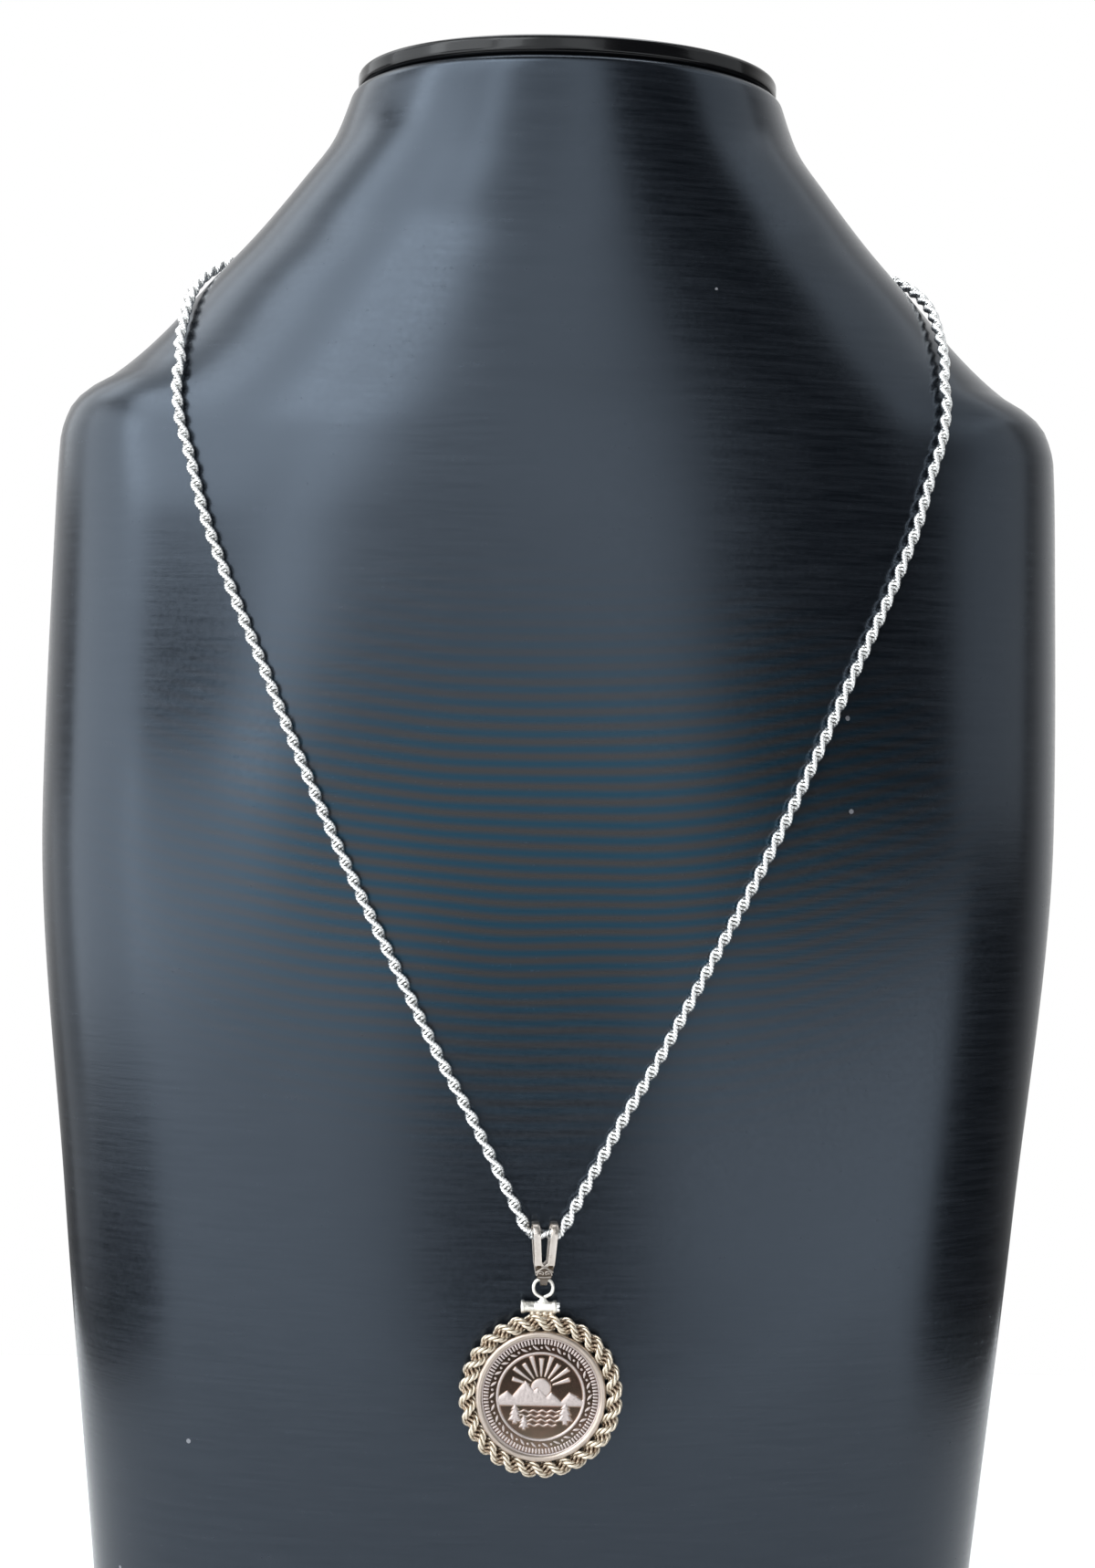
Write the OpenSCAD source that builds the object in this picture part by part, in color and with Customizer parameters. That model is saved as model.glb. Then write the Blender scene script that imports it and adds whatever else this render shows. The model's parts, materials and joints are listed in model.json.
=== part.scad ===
// Silver coin necklace with a rope chain, hung on a plain neck bust.
// X is right, Y is back, Z is up. The origin is the middle of the bust's flat base.

/* [Bust] */
// Half width of the bust at its widest
bust_half_w = 108.5; // [105:0.5:112]
// Radius of the bust's rounded bottom and neck edges
bust_edge_r = 2; // [1:0.5:3]
// Thickness of the glossy plate on the neck
cap_t = 3.9; // [2.5:0.1:5]
// How far the plate lies inside the neck's edge
cap_inset = 0.8; // [0.4:0.2:2]

/* [Chain] */
// Diameter of the rope chain
chain_d = 2.4; // [2:0.1:2.6]
// Length of the plain clasp, from chain end to chain end
clasp_l = 18; // [16:1:20]

/* [Bail] */
// Height of the chain's middle inside the bail
hang_z = 114.4; // [114:0.1:114.8]
// Distance of the chain's middle in front of the bust's centre plane
hang_y = 45.5; // [45.5:0.1:45.8]
// Distance from the chain's middle down to the wire loop's top bar
bail_l = 9.1; // [8.8:0.1:9.6]
// Thickness of the bail's sheet
bail_t = 0.5; // [0.4:0.05:0.6]
// Radius inside the bail where the chain runs
bail_top_r = 1.9; // [1.8:0.05:1.95]
// Radius inside the bail where the wire loop hangs
bail_end_r = 0.65; // [0.6:0.05:0.7]
// How far the bail hangs turned, with its front to the right, in degrees
bail_turn = 6; // [0:1:8]

/* [Pendant] */
// Distance from the wire loop's top bar down to the coin's middle
drop_l = 22.8; // [22.7:0.1:23]
// Diameter of the wire loop's wire
wire_d = 0.7; // [0.65:0.05:0.8]
// Outer radius of the plain bezel ring
bezel_r = 12.95; // [12.8:0.05:13]
// Radial width of the bezel ring, and the diameter of its rounded lips
bezel_w = 1.45; // [1.3:0.05:1.5]
// Depth of the bezel from front to back
bezel_depth = 2.8; // [2.7:0.1:3]
// Radius of the circle that the rope border's core runs on
rope_path_r = 14.5; // [14.4:0.05:14.6]
// Radius of the rope border over its strands
rope_r = 1.75; // [1.65:0.05:1.8]
// Number of strand lobes round the border, an even number
rope_lobes = 28; // [24:2:34]
// Diameter of the coin
coin_d = 23.8; // [23.6:0.05:23.85]
// Thickness of the coin at its rim
coin_t = 2; // [1.8:0.05:2]
// Number of reeds round the coin's face
reed_count = 104; // [80:4:120]

/* [Hidden] */
$fn = 48;

// The bust's outer shape, as level sections that are joined smoothly
// height, half width as a share of the widest, front depth, back depth, squareness
BUST = [
    [0, 0.834, 38, 46, 2.6],
    [33, 0.863, 40.3, 48, 2.6],
    [114, 0.938, 42.8, 50, 2.6],
    [195, 1, 43.2, 50, 2.6],
    [255, 0.992, 40, 45, 2.5],
    [274, 0.986, 38, 41, 2.45],
    [280, 0.972, 37.2, 39.5, 2.4],
    [284, 0.945, 36.6, 38.5, 2.35],
    [288, 0.886, 36, 37.5, 2.3],
    [298, 0.786, 34.8, 34, 2.2],
    [308, 0.706, 33.8, 31.6, 2.15],
    [320, 0.606, 33, 30.4, 2.1],
    [331, 0.524, 33, 30.6, 2.1],
    [340, 0.463, 33.4, 31.4, 2.1],
    [351, 0.424, 34.2, 32.6, 2.1],
];
// Heights of the mesh rows
BUST_ROWS = [
    0, 0.5, 2, 30, 62, 94, 126, 158, 190, 218, 240, 256, 266, 273, 278, 281.5,
    284.5, 287.5, 291, 295, 300, 305, 310.5, 316, 322, 328, 334, 340, 346, 349, 350.4, 351,
];
BUST_COLUMNS = 56;
neck_z = BUST[len(BUST) - 1][0];

// Height of the clasp, and the angle from it to each end of the chain
NAPE_Z = 325;
clasp_angle = asin(clasp_l / 2 / (bust_half_w * smooth_at(BUST, NAPE_Z, 1)));

// The chain's way from the bail, over the right shoulder and round to the clasp
// angle from the front, height on the bust, distance of the chain's middle from the surface
ROUTE = [
    [0, 114.4, 2.7],
    [1.3, 114.4, 2.7],
    [2, 115.3, 2.65],
    [2.8, 118, 2.5],
    [3.95, 122, 2.3],
    [5.8, 128.5, 2],
    [8.5, 138, 1.7],
    [12, 150, 1.6],
    [16.5, 167.5, 1.6],
    [21.2, 186, 1.6],
    [26.5, 208, 1.6],
    [30.8, 226, 1.6],
    [35, 242, 1.6],
    [38.5, 256, 1.6],
    [41.5, 270, 1.6],
    [46, 283, 1.7],
    [55, 291, 1.8],
    [68, 301, 1.8],
    [84, 309.5, 1.8],
    [102, 315.5, 1.8],
    [120, 319.5, 1.8],
    [138, 322.5, 1.8],
    [155, 324.5, 1.9],
    [180 - clasp_angle, NAPE_Z, 2],
];
ROUTE_END = len(ROUTE) - 1;
// Route rows from the bail where a ring of the tube lies on every row, not every half row
DENSE_ROWS = 6;
TUBE_SIDES = 8;

function secant(table, i, col) =
    (table[i + 1][col] - table[i][col]) / (table[i + 1][0] - table[i][0]);

// Slope at a row that never overshoots between rows
function row_slope(table, i, col) =
    i == 0 ? secant(table, 0, col) :
    i == len(table) - 1 ? secant(table, i - 1, col) :
    let (before = secant(table, i - 1, col), after = secant(table, i, col))
    before * after <= 0 ? 0 : 2 * before * after / (before + after);

function row_below(table, z, i = 0) =
    i < len(table) - 2 && z > table[i + 1][0] ? row_below(table, z, i + 1) : i;

function smooth_at(table, z, col) =
    let (
        i = row_below(table, z),
        h = table[i + 1][0] - table[i][0],
        u = (z - table[i][0]) / h
    )
    (1 + 2 * u) * pow(1 - u, 2) * table[i][col]
        + u * pow(1 - u, 2) * h * row_slope(table, i, col)
        + u * u * (3 - 2 * u) * table[i + 1][col]
        + u * u * (u - 1) * h * row_slope(table, i + 1, col);

// How far a rounded edge of radius r draws in at distance d from its end
function edge_inset(d, r) = d >= r ? 0 : r - sqrt(r * r - pow(r - max(d, 0), 2));

// Point of a rounded section, angle 0 in front, 90 at the right and 180 behind
function section_point(angle, half_w, front, back, square) =
    let (k = pow(pow(abs(sin(angle)), square) + pow(abs(cos(angle)), square), -1 / square))
    [half_w * sin(angle) * k, -(cos(angle) > 0 ? front : back) * cos(angle) * k];

// Point of the bust at an angle and height, drawn in by inset
function bust_point(angle, z, inset = 0) =
    let (
        p = section_point(
            angle,
            bust_half_w * smooth_at(BUST, z, 1) - inset,
            smooth_at(BUST, z, 2) - inset,
            smooth_at(BUST, z, 3) - inset,
            smooth_at(BUST, z, 4)
        )
    )
    [p[0], p[1], z];

function unit(v) = v / norm(v);

// Outline of the right half's points, a point in the middle and their mirror images on the left
function both_halves(half, middle = []) = concat(
    half,
    middle,
    [for (i = [len(half) - 1 : -1 : 0]) [-half[i][0], half[i][1]]]
);

function bust_normal(angle, z) =
    unit(cross(
        bust_point(angle + 0.5, z) - bust_point(angle - 0.5, z),
        bust_point(angle, z + 0.5) - bust_point(angle, z - 0.5)
    ));

// Row of the route with its mirror image on the left, for a row number of either sign
function route_row(i) =
    let (row = ROUTE[min(abs(i), ROUTE_END)])
    [sign(i) * row[0], row[1], row[2]];

// Row before the first or after the last, so that the curve runs straight out
function route_knot(i) =
    abs(i) <= ROUTE_END ? route_row(i) : 2 * route_row(sign(i) * ROUTE_END) - route_row(i - 2 * sign(i));

function curve_through(a, b, c, d, u) =
    0.5 * (2 * b + (c - a) * u + (2 * a - 5 * b + 4 * c - d) * u * u + (3 * b - a - 3 * c + d) * u * u * u);

function route_at(s) =
    let (i = floor(s))
    curve_through(route_knot(i - 1), route_knot(i), route_knot(i + 1), route_knot(i + 2), s - i);

function chain_point(s) =
    let (row = route_at(s))
    bust_point(row[0], row[1]) + row[2] * bust_normal(row[0], row[1]);

CHAIN_HALF = concat(
    [for (s = [0 : DENSE_ROWS - 1]) s],
    [for (s = [DENSE_ROWS : 0.5 : ROUTE_END]) s]
);
CHAIN_STEPS = concat(
    [for (i = [len(CHAIN_HALF) - 1 : -1 : 1]) -CHAIN_HALF[i]],
    CHAIN_HALF
);
chain_end = chain_point(ROUTE_END);

// One ring of points round the chain's middle
function chain_ring(s) =
    let (
        row = route_at(s),
        along = unit(chain_point(s + 0.02) - chain_point(s - 0.02)),
        out = bust_normal(row[0], row[1]),
        up = unit(cross(along, out)),
        side = cross(up, along)
    )
    [for (k = [0 : TUBE_SIDES - 1])
        chain_point(s) + chain_d / 2 * (cos(360 * k / TUBE_SIDES) * side + sin(360 * k / TUBE_SIDES) * up)];

// Closed solid through rings of equal point counts, with flat ends
module loft(rings) {
    n = len(rings[0]);
    last = len(rings) - 1;
    points = [for (ring = rings) for (p = ring) p];
    sides = [for (i = [0 : last - 1]) for (k = [0 : n - 1])
        [i * n + k, i * n + (k + 1) % n, (i + 1) * n + (k + 1) % n, (i + 1) * n + k]];
    triangles = [for (q = sides) each [[q[0], q[2], q[1]], [q[0], q[3], q[2]]]];
    first_end = [for (k = [0 : n - 1]) k];
    last_end = [for (k = [n - 1 : -1 : 0]) last * n + k];
    polyhedron(points, concat(triangles, [first_end, last_end]));
}

module bust_form() {
    color([0.09, 0.1, 0.12])
    loft([for (z = BUST_ROWS)
        let (inset = edge_inset(z, bust_edge_r) + edge_inset(neck_z - z, bust_edge_r))
        [for (k = [0 : BUST_COLUMNS - 1]) bust_point(360 * k / BUST_COLUMNS, z, inset)]]);
}

// Plate on the neck, with a rounded edge and a small gap under it
module neck_cap() {
    gap = 0.1;
    edge_r = cap_t * 0.4;
    heights = [0, 0.12, 0.4, 0.6, 0.88, 1] * cap_t;
    color([0.03, 0.03, 0.035])
    loft([for (h = heights)
        let (inset = cap_inset + edge_inset(h, edge_r) + edge_inset(cap_t - h, edge_r))
        [for (k = [0 : BUST_COLUMNS - 1])
            bust_point(360 * k / BUST_COLUMNS, neck_z, inset) + [0, 0, gap + h]]]);
}

module rope_chain() {
    color([0.86, 0.86, 0.84])
    loft([for (s = CHAIN_STEPS) chain_ring(s)]);
}

// Plain clasp at the nape, between the chain's two ends
module clasp() {
    cap_l = 2.6;
    cap_r = 1.4;
    ring_r = 1.35;
    ring_wire_r = 0.4;
    body_r = 1.75;
    chain_gap = 0.15;
    end_x = chain_end[0] - chain_gap;
    ring_x = end_x - cap_l - ring_r + ring_wire_r / 2;
    body_half = ring_x - ring_r + ring_wire_r / 2;
    color([0.82, 0.82, 0.8])
    translate([0, chain_end[1] + 0.4, chain_end[2]]) {
        rotate([0, 90, 0])
        rotate_extrude()
        polygon([
            [0, -body_half], [0.8, -body_half], [body_r, -body_half * 0.6],
            [body_r, body_half * 0.6], [0.8, body_half], [0, body_half],
        ]);
        for (side = [-1, 1]) {
            translate([side * ring_x, 0, 0])
            rotate([90, 0, 0])
            rotate_extrude()
            translate([ring_r, 0])
            circle(r = ring_wire_r);
            translate([side * (end_x - cap_l / 2), 0, 0])
            rotate([0, 90, 0])
            cylinder(r = cap_r, h = cap_l, center = true);
        }
    }
}

// Long closed band round the chain and the loop's bar, seen from the side: x is forward, y is up
module bail_band(grow) {
    difference() {
        wrap_two_circles(bail_top_r + grow, bail_end_r + grow);
        wrap_two_circles(bail_top_r, bail_end_r);
    }
}

// Outline that wraps a circle at the origin and a smaller one below it
module wrap_two_circles(top_r, end_r) {
    lean = asin((top_r - end_r) / bail_l);
    circle(r = top_r);
    translate([0, -bail_l])
    circle(r = end_r);
    polygon([
        [-top_r * cos(lean), -top_r * sin(lean)],
        [top_r * cos(lean), -top_r * sin(lean)],
        [end_r * cos(lean), -bail_l - end_r * sin(lean)],
        [-end_r * cos(lean), -bail_l - end_r * sin(lean)],
    ]);
}

// The band carried across the bail's width, with its front to -Y
module bail_sweep(grow) {
    rotate([90, 0, -90])
    linear_extrude(8, center = true)
    bail_band(grow);
}

// Shape carried from front to back through the bail, x right and y up
module through_bail(from = -4, depth = 8) {
    translate([0, -from, 0])
    rotate([90, 0, 0])
    linear_extrude(depth)
    children();
}

// Two straps that part over the chain, the yoke where they meet, and the tongue round the loop's bar
module bail() {
    top = bail_top_r + 1;
    half = [[2.55, top], [1.95, -5.8], [1.5, -8.3], [1.35, -8.55], [0.8, -8.75], [0.5, -11]];
    relief = 0.2;
    color([0.78, 0.76, 0.72])
    translate([0, -hang_y, hang_z])
    rotate([0, 0, bail_turn]) {
        intersection() {
            bail_sweep(bail_t);
            through_bail()
            difference() {
                polygon(both_halves(half));
                polygon([[-1.35, top + 1], [1.35, top + 1], [0.62, -5.5], [0, -6.1], [-0.62, -5.5]]);
            }
        }
        intersection() {
            bail_sweep(bail_t + relief);
            through_bail(from = 0, depth = 4)
            polygon([
                [-1.65, -6.4], [-1, -5.7], [0, -6.4], [1, -5.7], [1.65, -6.4],
                [1.4, -7.5], [0.6, -8.1], [-0.6, -8.1], [-1.4, -7.5],
            ]);
        }
    }
}

// Straight round wire between two points in the XZ plane, with a ball at its start
module wire_run(a, b) {
    run = b - a;
    translate([a[0], 0, a[1]]) {
        sphere(d = wire_d * 1.05);
        rotate([0, atan2(run[0], run[1]), 0])
        cylinder(d = wire_d, h = norm(run));
    }
}

// Wire loop that the bail holds, flat on top and pointed where its ends meet
module wire_loop() {
    path = both_halves([[1, 0], [1.65, -0.55], [1.92, -1.6], [1.45, -2.75]], [[0, -3.6]]);
    for (i = [0 : len(path) - 1]) {
        wire_run(path[i], path[(i + 1) % len(path)]);
    }
}

barrel_drop = 5.3;
barrel_shift = -0.8;
barrel_half = 3.5;
barrel_end_r = 1.3;
barrel_mid_r = 1.05;
screw_r = 0.62;
screw_clear = 0.08;
barrel_left = barrel_shift - barrel_half;
barrel_right = barrel_shift + barrel_half;

// Solder that spreads from the loop's point over the barrel
module loop_foot() {
    depth = 1.1;
    translate([0, depth / 2, 0])
    rotate([90, 0, 0])
    linear_extrude(depth)
    polygon(both_halves([[0.55, -3.4], [0.8, -4], [1.7, -4.5]]));
}

// Tube across the top that the screw runs through, wider at its ends
module barrel() {
    flare_l = 0.5;
    slope_l = 0.5;
    edge = 0.15;
    bore_r = screw_r + screw_clear;
    translate([barrel_shift, 0, -barrel_drop])
    rotate([0, 90, 0])
    rotate_extrude()
    polygon([
        [bore_r, -barrel_half], [barrel_end_r - edge, -barrel_half], [barrel_end_r, -barrel_half + edge],
        [barrel_end_r, -barrel_half + flare_l], [barrel_mid_r, -barrel_half + flare_l + slope_l],
        [barrel_mid_r, barrel_half - flare_l - slope_l], [barrel_end_r, barrel_half - flare_l],
        [barrel_end_r, barrel_half - edge], [barrel_end_r - edge, barrel_half], [bore_r, barrel_half],
    ]);
}

// Block that carries the barrel on the bezel ring
module barrel_foot() {
    foot_w = 4.4;
    foot_depth = 1.3;
    foot_top = -barrel_drop - screw_r - 0.2;
    foot_bottom = -drop_l + bezel_r - bezel_w / 2;
    translate([-foot_w / 2, -foot_depth / 2, foot_bottom])
    cube([foot_w, foot_depth, foot_top - foot_bottom]);
}

// Plain ring with rounded lips and a channel that holds the coin
module bezel_ring() {
    channel_r = coin_d / 2 + 0.1;
    channel_w = coin_t + 0.1;
    lip_z = bezel_depth / 2 - bezel_w / 2;
    rotate_extrude()
    difference() {
        union() {
            translate([bezel_r - bezel_w, -lip_z])
            square([bezel_w, 2 * lip_z]);
            for (side = [-1, 1]) {
                translate([bezel_r - bezel_w / 2, side * lip_z])
                circle(d = bezel_w);
            }
        }
        translate([0, -channel_w / 2])
        square([channel_r, channel_w]);
    }
}

// Twisted rope border, as a two-lobed section that turns right-handed as it goes round
module rope_border() {
    stations = rope_lobes * 4;
    sides = 12;
    mean_r = rope_r * 0.8;
    lobe = rope_r * 0.2;
    points = [for (i = [0 : stations - 1]) for (k = [0 : sides - 1])
        let (
            round_at = 360 * i / stations,
            turn = 360 * k / sides,
            r = mean_r + lobe * cos(2 * turn + 360 * i / 4),
            out = rope_path_r + r * cos(turn)
        )
        [out * cos(round_at), out * sin(round_at), r * sin(turn)]];
    faces = [for (i = [0 : stations - 1]) for (k = [0 : sides - 1])
        let (
            a = i * sides + k,
            b = i * sides + (k + 1) % sides,
            c = ((i + 1) % stations) * sides + (k + 1) % sides,
            d = ((i + 1) % stations) * sides + k
        )
        each [[a, b, c], [a, c, d]]];
    polyhedron(points, faces);
}

// Bezel ring, rope border, barrel and loop, soldered together
module bezel() {
    color([0.8, 0.77, 0.7])
    translate([0, -hang_y, hang_z - bail_l]) {
        wire_loop();
        loop_foot();
        barrel();
        barrel_foot();
        translate([0, 0, -drop_l])
        rotate([90, 0, 0]) {
            bezel_ring();
            rope_border();
        }
    }
}

// Slotted screw through the barrel
module screw() {
    head_r = 1.15;
    head_l = 0.55;
    head_gap = 0.05;
    end_gap = 0.1;
    slot_w = 0.35;
    slot_depth = 0.25;
    shank_x = barrel_left + end_gap;
    head_x = barrel_right + head_gap;
    color([0.88, 0.88, 0.86])
    translate([0, -hang_y, hang_z - bail_l - barrel_drop])
    rotate([0, 90, 0])
    difference() {
        union() {
            translate([0, 0, shank_x])
            cylinder(r = screw_r, h = head_x - shank_x);
            translate([0, 0, head_x])
            cylinder(r = head_r, h = head_l);
        }
        translate([-slot_w / 2, -head_r - 1, head_x + head_l - slot_depth])
        cube([slot_w, 2 * head_r + 2, 1]);
    }
}

field_z = coin_t / 2 - 0.3;
scene_r = 8.3;

// Raised shape on the coin's face, sunk a little into the field
module relief(height) {
    translate([0, 0, field_z - 0.1])
    linear_extrude(height + 0.1)
    children();
}

module coin_blank() {
    rim_w = 0.6;
    rotate_extrude()
    polygon([
        [0, -field_z], [coin_d / 2 - rim_w, -field_z], [coin_d / 2 - rim_w, -coin_t / 2],
        [coin_d / 2, -coin_t / 2], [coin_d / 2, coin_t / 2], [coin_d / 2 - rim_w, coin_t / 2],
        [coin_d / 2 - rim_w, field_z], [0, field_z],
    ]);
}

// Ring of reeds just inside the rim
module coin_reeds() {
    inner_r = 10.35;
    root_r = 11.25;
    outer_r = 11.5;
    tooth = 360 / reed_count;
    difference() {
        circle(r = outer_r);
        polygon([for (i = [0 : reed_count - 1]) each [
            inner_r * [cos(i * tooth), sin(i * tooth)],
            inner_r * [cos((i + 0.58) * tooth), sin((i + 0.58) * tooth)],
            root_r * [cos((i + 0.58) * tooth), sin((i + 0.58) * tooth)],
            root_r * [cos((i + 1) * tooth), sin((i + 1) * tooth)],
        ]]);
    }
}

// Pointed leaf along Y
module leaf(length, width) {
    r = (length * length + width * width) / (4 * width);
    intersection() {
        translate([r - width / 2, 0])
        circle(r = r);
        translate([width / 2 - r, 0])
        circle(r = r);
    }
}

// Leaves and berries between the reeds and the inner ring
module coin_wreath() {
    leaf_count = 26;
    wreath_r = 9.62;
    for (i = [0 : leaf_count - 1]) {
        rotate(360 * i / leaf_count) {
            translate([wreath_r, 0])
            rotate(-38)
            leaf(1.5, 0.62);
            rotate(180 / leaf_count)
            translate([wreath_r, 0])
            circle(r = 0.24, $fn = 16);
        }
    }
}

module sun_and_rays() {
    ray_count = 9;
    translate([0, 1.6]) {
        circle(r = 2);
        for (i = [0 : ray_count - 1]) {
            rotate(18 * (i + 1))
            polygon([[2.4, -0.14], [2.4, 0.14], [5.9 + (i % 2) * 0.7, 0.42], [5.9 + (i % 2) * 0.7, -0.42]]);
        }
    }
}

// Mountain range as far as the lake's shore
module mountains() {
    polygon([
        [-9, -1.9], [-9, -0.6], [-6.6, 1.1], [-5.5, 0.2], [-3.1, 3.1], [-1.5, 1.2], [-0.6, 1.9],
        [1.1, 0.1], [2.1, 1], [4.1, -0.8], [5.6, 0.9], [9, -0.9], [9, -1.9],
    ]);
}

// Shaded side of each main peak
module peak_faces() {
    polygon([[-3.1, 3.1], [-1.5, 1.2], [-1.9, -0.2], [-2.6, 0.7], [-2.9, 1.7]]);
    polygon([[-0.6, 1.9], [1.1, 0.1], [0.5, -0.9], [-0.1, 0.3]]);
    polygon([[5.6, 0.9], [7.2, 0.1], [6.3, -0.9], [5.7, -0.1]]);
}

// Long low ripple on the lake
module ripple(y, half_l, phase) {
    steps = 12;
    polygon(concat(
        [for (i = [0 : steps]) let (x = half_l * (2 * i / steps - 1))
            [x, y + 0.1 + 0.16 * sin(phase + 200 * x)]],
        [for (i = [steps : -1 : 0]) let (x = half_l * (2 * i / steps - 1))
            [x, y - 0.1 + 0.16 * sin(phase + 200 * x)]]
    ));
}

// Pine tree with three tiers, its foot at the origin
module pine(height) {
    half = [[0.11, 0], [0.11, 0.16], [0.34, 0.16], [0.17, 0.44], [0.27, 0.44], [0.12, 0.7], [0.2, 0.7]];
    polygon(height * both_halves(half, [[0, 1]]));
}

module in_scene() {
    intersection() {
        circle(r = scene_r);
        union() children();
    }
}

module coin() {
    color([0.62, 0.52, 0.47])
    translate([0, -hang_y, hang_z - bail_l - drop_l])
    rotate([90, 0, 0]) {
        coin_blank();
        relief(0.22) coin_reeds();
        relief(0.25) difference() {
            circle(r = scene_r + 0.55);
            circle(r = scene_r);
        }
        relief(0.2) coin_wreath();
        relief(0.12) in_scene() sun_and_rays();
        relief(0.18) in_scene() mountains();
        relief(0.24) peak_faces();
        relief(0.12) in_scene() {
            ripple(-2.9, 5.6, 0);
            ripple(-3.8, 4.1, 90);
            ripple(-4.7, 4.7, 40);
            ripple(-5.6, 3.2, 140);
        }
        relief(0.28) {
            translate([-5, -5.4]) pine(3.9);
            translate([-3.2, -6.6]) pine(2.9);
            translate([4.9, -5.5]) pine(4.4);
        }
    }
}

bust_form();
neck_cap();
rope_chain();
clasp();
bail();
bezel();
screw();
coin();
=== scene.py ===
"""Silver coin necklace with a rope chain, hung on a plain neck bust."""
import json
from math import asin, cos, degrees, pi, radians, sin, tau

import bmesh
import bpy
import numpy as np
from mathutils import Euler, Matrix, Vector


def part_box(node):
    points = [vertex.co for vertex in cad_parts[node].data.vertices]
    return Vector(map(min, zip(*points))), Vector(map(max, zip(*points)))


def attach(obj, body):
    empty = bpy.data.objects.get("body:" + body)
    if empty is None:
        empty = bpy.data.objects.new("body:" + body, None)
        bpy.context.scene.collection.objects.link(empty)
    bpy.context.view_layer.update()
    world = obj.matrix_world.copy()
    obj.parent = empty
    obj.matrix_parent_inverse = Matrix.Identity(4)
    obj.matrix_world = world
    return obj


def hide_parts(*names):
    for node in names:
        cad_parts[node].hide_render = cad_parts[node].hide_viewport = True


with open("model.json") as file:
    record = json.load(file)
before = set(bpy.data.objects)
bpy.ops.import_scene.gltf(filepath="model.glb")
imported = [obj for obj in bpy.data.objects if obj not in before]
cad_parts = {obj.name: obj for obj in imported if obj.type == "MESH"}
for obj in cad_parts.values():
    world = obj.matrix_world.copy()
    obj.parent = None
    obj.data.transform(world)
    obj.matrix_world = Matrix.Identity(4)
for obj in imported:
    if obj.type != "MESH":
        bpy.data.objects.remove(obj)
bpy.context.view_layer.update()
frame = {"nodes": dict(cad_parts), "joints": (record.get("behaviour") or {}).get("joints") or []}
scene = bpy.context.scene

# Places that the frame gives, in metres
MM = 0.001
MERGE_DISTANCE = 0.0001 * MM
JOINT = {joint["name"]: joint for joint in frame["joints"]}
HANG = Vector(JOINT["bail_swing"]["pos_m"])
LOOP_BAR = Vector(JOINT["pendant_swing"]["pos_m"])
CAP_LOW, CAP_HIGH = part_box("neck_cap")
COIN_LOW, COIN_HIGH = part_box("coin")
COIN_MIDDLE = (COIN_LOW + COIN_HIGH) / 2
SCREW_LOW, SCREW_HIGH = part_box("screw")
BARREL_MIDDLE = Vector((LOOP_BAR.x, LOOP_BAR.y, (SCREW_LOW.z + SCREW_HIGH.z) / 2))

# Body and slot of each node that new pieces stand for
NODES = {
    "bust_form": ("bust", "bust_vinyl"), "neck_cap": ("bust", "cap_gloss"),
    "rope_chain": ("bust", "chain_silver"), "bail": ("bail", "bail_silver"),
    "bezel": ("pendant", "bezel_silver"), "coin": ("pendant", "coin_silver"),
}

# Bust, in millimetres: its level sections are the part's own
# height, half width as a share of the widest, front depth, back depth, squareness,
# and the half width that eases the front of the shoulder
BUST = np.array([
    [0, 0.834, 38, 46, 2.6, 0.834],
    [33, 0.863, 40.3, 48, 2.6, 0.863],
    [114, 0.938, 42.8, 50, 2.6, 0.938],
    [195, 1, 43.2, 50, 2.6, 1],
    [255, 0.992, 40, 45, 2.5, 0.985],
    [274, 0.986, 38, 41, 2.45, 0.945],
    [280, 0.972, 37.2, 39.5, 2.4, 0.92],
    [284, 0.945, 36.6, 38.5, 2.35, 0.898],
    [288, 0.886, 36, 37.5, 2.3, 0.87],
    [298, 0.786, 34.8, 34, 2.2, 0.786],
    [308, 0.706, 33.8, 31.6, 2.15, 0.706],
    [320, 0.606, 33, 30.4, 2.1, 0.606],
    [331, 0.524, 33, 30.6, 2.1, 0.524],
    [340, 0.463, 33.4, 31.4, 2.1, 0.463],
    [351, 0.424, 34.2, 32.6, 2.1, 0.424],
])
# right or left of the middle where the eased shoulder begins and ends to give way to the outline
EASE_START = 70.0
EASE_END = 92.0
BUST_HALF_W = 108.5
BUST_EDGE_R = 2.0
BUST_COLUMNS = 200
BUST_ROW_STEP = 2.2
NECK_Z = BUST[-1, 0]

# Neck plate, in millimetres
CAP_INSET = 0.8
CAP_EDGE_R = 1.1
CAP_COLUMNS = 160
CAP_ROW_STEP = 0.5

# Rope chain, in millimetres and degrees: the route's rows are the part's own
# angle from the front, height on the bust, distance of the chain's middle from the surface
CLASP_L = 18.0
NAPE_Z = 325.0
NAPE_LIFT = 2.0
ROUTE = [
    [0, 114.4, 2.7], [1.3, 114.4, 2.7], [2, 115.3, 2.65], [2.8, 118, 2.5], [3.95, 122, 2.3],
    [5.8, 128.5, 2], [8.5, 138, 1.7], [12, 150, 1.6], [16.5, 167.5, 1.6], [21.2, 186, 1.6],
    [26.5, 208, 1.6], [30.8, 226, 1.6], [35, 242, 1.6], [38.5, 256, 1.6], [41.5, 270, 1.6],
    [46, 283, 1.7], [55, 291, 1.8], [68, 301, 1.8], [84, 309.5, 1.8], [102, 315.5, 1.8],
    [120, 319.5, 1.8], [138, 322.5, 1.8], [155, 324.5, 1.9],
]
ROUTE_STEPS = 16
CHAIN_SPACING = 0.375
CHAIN_TURN_L = 7.5
CHAIN_TILT = -58
CHAIN_LINK = {"Link Radius": 0.6, "Wire Radius": 0.35, "Side Offset": 0.39, "Cut Radius": 1.22}
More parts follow.
